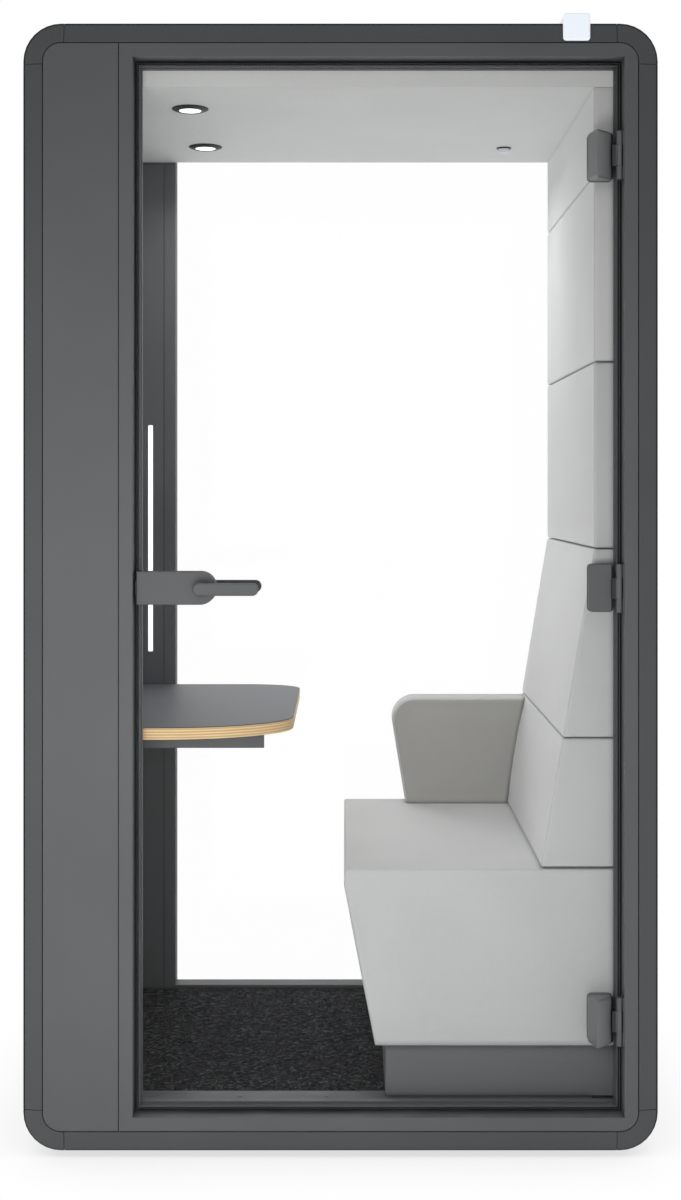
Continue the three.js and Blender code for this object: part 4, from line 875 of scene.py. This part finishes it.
def stage_floor():
    size, step = 12.0, 24
    grid = np.linspace(-size, size, step)
    points = [(x, y, 0.0) for y in grid for x in grid]
    faces = [(j * step + i, j * step + i + 1, (j + 1) * step + i + 1, (j + 1) * step + i)
             for j in range(step - 1) for i in range(step - 1)]
    mesh = bpy.data.meshes.new("studio_floor")
    mesh.from_pydata(points, [], faces)
    floor = bpy.data.objects.new("studio_floor", mesh)
    scene.collection.objects.link(floor)
    made, tree, shader, _ = material("pale_floor")
    shader.inputs["Base Color"].default_value = (0.92, 0.92, 0.92, 1.0)
    shader.inputs["Roughness"].default_value = 0.9
    shader.inputs["Specular IOR Level"].default_value = 0.0
    # Seen by the camera, in reflections and through glass, the floor glows white with a painted shadow, darker where
    # ambient occlusion finds the pod close by; as light, it is a pale floor.
    painted_floor_shadow = node(tree, "ShaderNodeAmbientOcclusion", samples=8)
    painted_floor_shadow.inputs["Distance"].default_value = 0.35
    seen = node(tree, "ShaderNodeEmission")
    path = node(tree, "ShaderNodeLightPath")
    both = node(tree, "ShaderNodeMixShader")
    plain = math_node(tree, "MAXIMUM", path.outputs["Is Camera Ray"],
                      math_node(tree, "MAXIMUM", path.outputs["Is Glossy Ray"], path.outputs["Is Transmission Ray"]))
    link(tree, (ramp(tree, painted_floor_shadow.outputs["AO"], 0.0, 0.9, 0.7, 1.0), seen.inputs["Strength"]), (plain, both.inputs[0]),
         (shader.outputs[0], both.inputs[1]), (seen.outputs[0], both.inputs[2]),
         (both.outputs[0], tree.nodes["Material Output"].inputs["Surface"]))
    mesh.materials.append(made)


def studio_world():
    """White where it is seen; as light, strongest from above and below and weakest at the horizon."""
    world = bpy.data.worlds.new("studio")
    scene.world = world
    world.use_nodes = True
    tree = world.node_tree
    lit = tree.nodes["Background"]
    way = node(tree, "ShaderNodeTexCoord")
    parts = node(tree, "ShaderNodeSeparateXYZ")
    link(tree, (way.outputs["Generated"], parts.inputs[0]))
    steep = math_node(tree, "ABSOLUTE", parts.outputs[2])
    link(tree, (ramp(tree, steep, 0.0, 0.8, HORIZON, ZENITH), lit.inputs["Strength"]))
    plain = node(tree, "ShaderNodeBackground")
    plain.inputs["Color"].default_value = (1.0, 1.0, 1.0, 1.0)
    plain.inputs["Strength"].default_value = 1.0
    path = node(tree, "ShaderNodeLightPath")
    seen = math_node(tree, "MAXIMUM", path.outputs["Is Camera Ray"],
                     math_node(tree, "MAXIMUM", path.outputs["Is Glossy Ray"], path.outputs["Is Transmission Ray"]))
    both = node(tree, "ShaderNodeMixShader")
    lit.inputs["Color"].default_value = (1.0, 1.0, 1.0, 1.0)
    link(tree, (seen, both.inputs[0]), (lit.outputs[0], both.inputs[1]), (plain.outputs[0], both.inputs[2]),
         (both.outputs[0], tree.nodes["World Output"].inputs["Surface"]))


def area_light(name, place, target, size, power, color=(1.0, 1.0, 1.0), only=()):
    light = bpy.data.lights.new(name, "AREA")
    light.shape = "RECTANGLE"
    light.size, light.size_y = size
    light.energy = power
    light.color = color
    obj = bpy.data.objects.new(name, light)
    obj.location = place
    obj.rotation_euler = (Vector(target) - Vector(place)).to_track_quat("-Z", "Y").to_euler()
    obj.visible_camera = False
    obj.visible_glossy = False
    scene.collection.objects.link(obj)
    if only:
        lit = bpy.data.collections.new(name + "_falls_on")
        for each in only:
            lit.objects.link(each)
        obj.light_linking.receiver_collection = lit


def camera():
    data = bpy.data.cameras.new("camera")
    data.lens = 50.4
    data.sensor_width = 36.0
    data.shift_x = -0.0032
    data.shift_y = -0.0908
    obj = bpy.data.objects.new("camera", data)
    obj.location = (0.0075, FRONT - 3.305, SHELL_BASE + 1.299)
    obj.rotation_euler = (math.pi / 2, 0.0, 0.0)
    scene.collection.objects.link(obj)
    scene.camera = obj


stage_floor()
studio_world()
area_light("front_soft", (-0.4, FRONT - 1.5, 0.95), (-0.3, FRONT, 0.95), (1.2, 0.5), 14.6)
area_light("rear_soft", (-0.6, 2.4, 1.45), (0.1, 0.1, 1.0), (1.8, 1.8), 40.0)
area_light("cabin_fill", (0.0, 0.27, 2.04), (0.0, 0.2, 0.0), (0.7, 0.25), 2.6)
area_light("seat_fill", (0.2, -0.05, 1.25), (0.2, -0.05, 0.0), (0.4, 0.6), 0.3)
UPPER = [c for c, _ in covers if c.name.startswith(("wall_pad_top", "wall_pad_upper"))]
CEILING = [c for c, _ in covers if c.name.startswith("ceiling")]
area_light("pad_soft", (0.6, FRONT - 1.3, 2.2), (0.5, FRONT, 1.9), (0.8, 0.5), 2.7, WARM, UPPER)
area_light("lip_soft", (0.0, FRONT - 1.3, 2.1), (0.0, FRONT, 2.1), (1.2, 0.4), 5.6, WARM, CEILING)
for side in (-1, 1):  # these light the outer walls and lie outside the planes of the door and the window
    area_light("side_soft", (side * 2.8, 0.0, 1.2), (0.0, 0.0, 1.1), (0.8, 1.6), 18.0)
camera()
scene.view_settings.view_transform = "Standard"
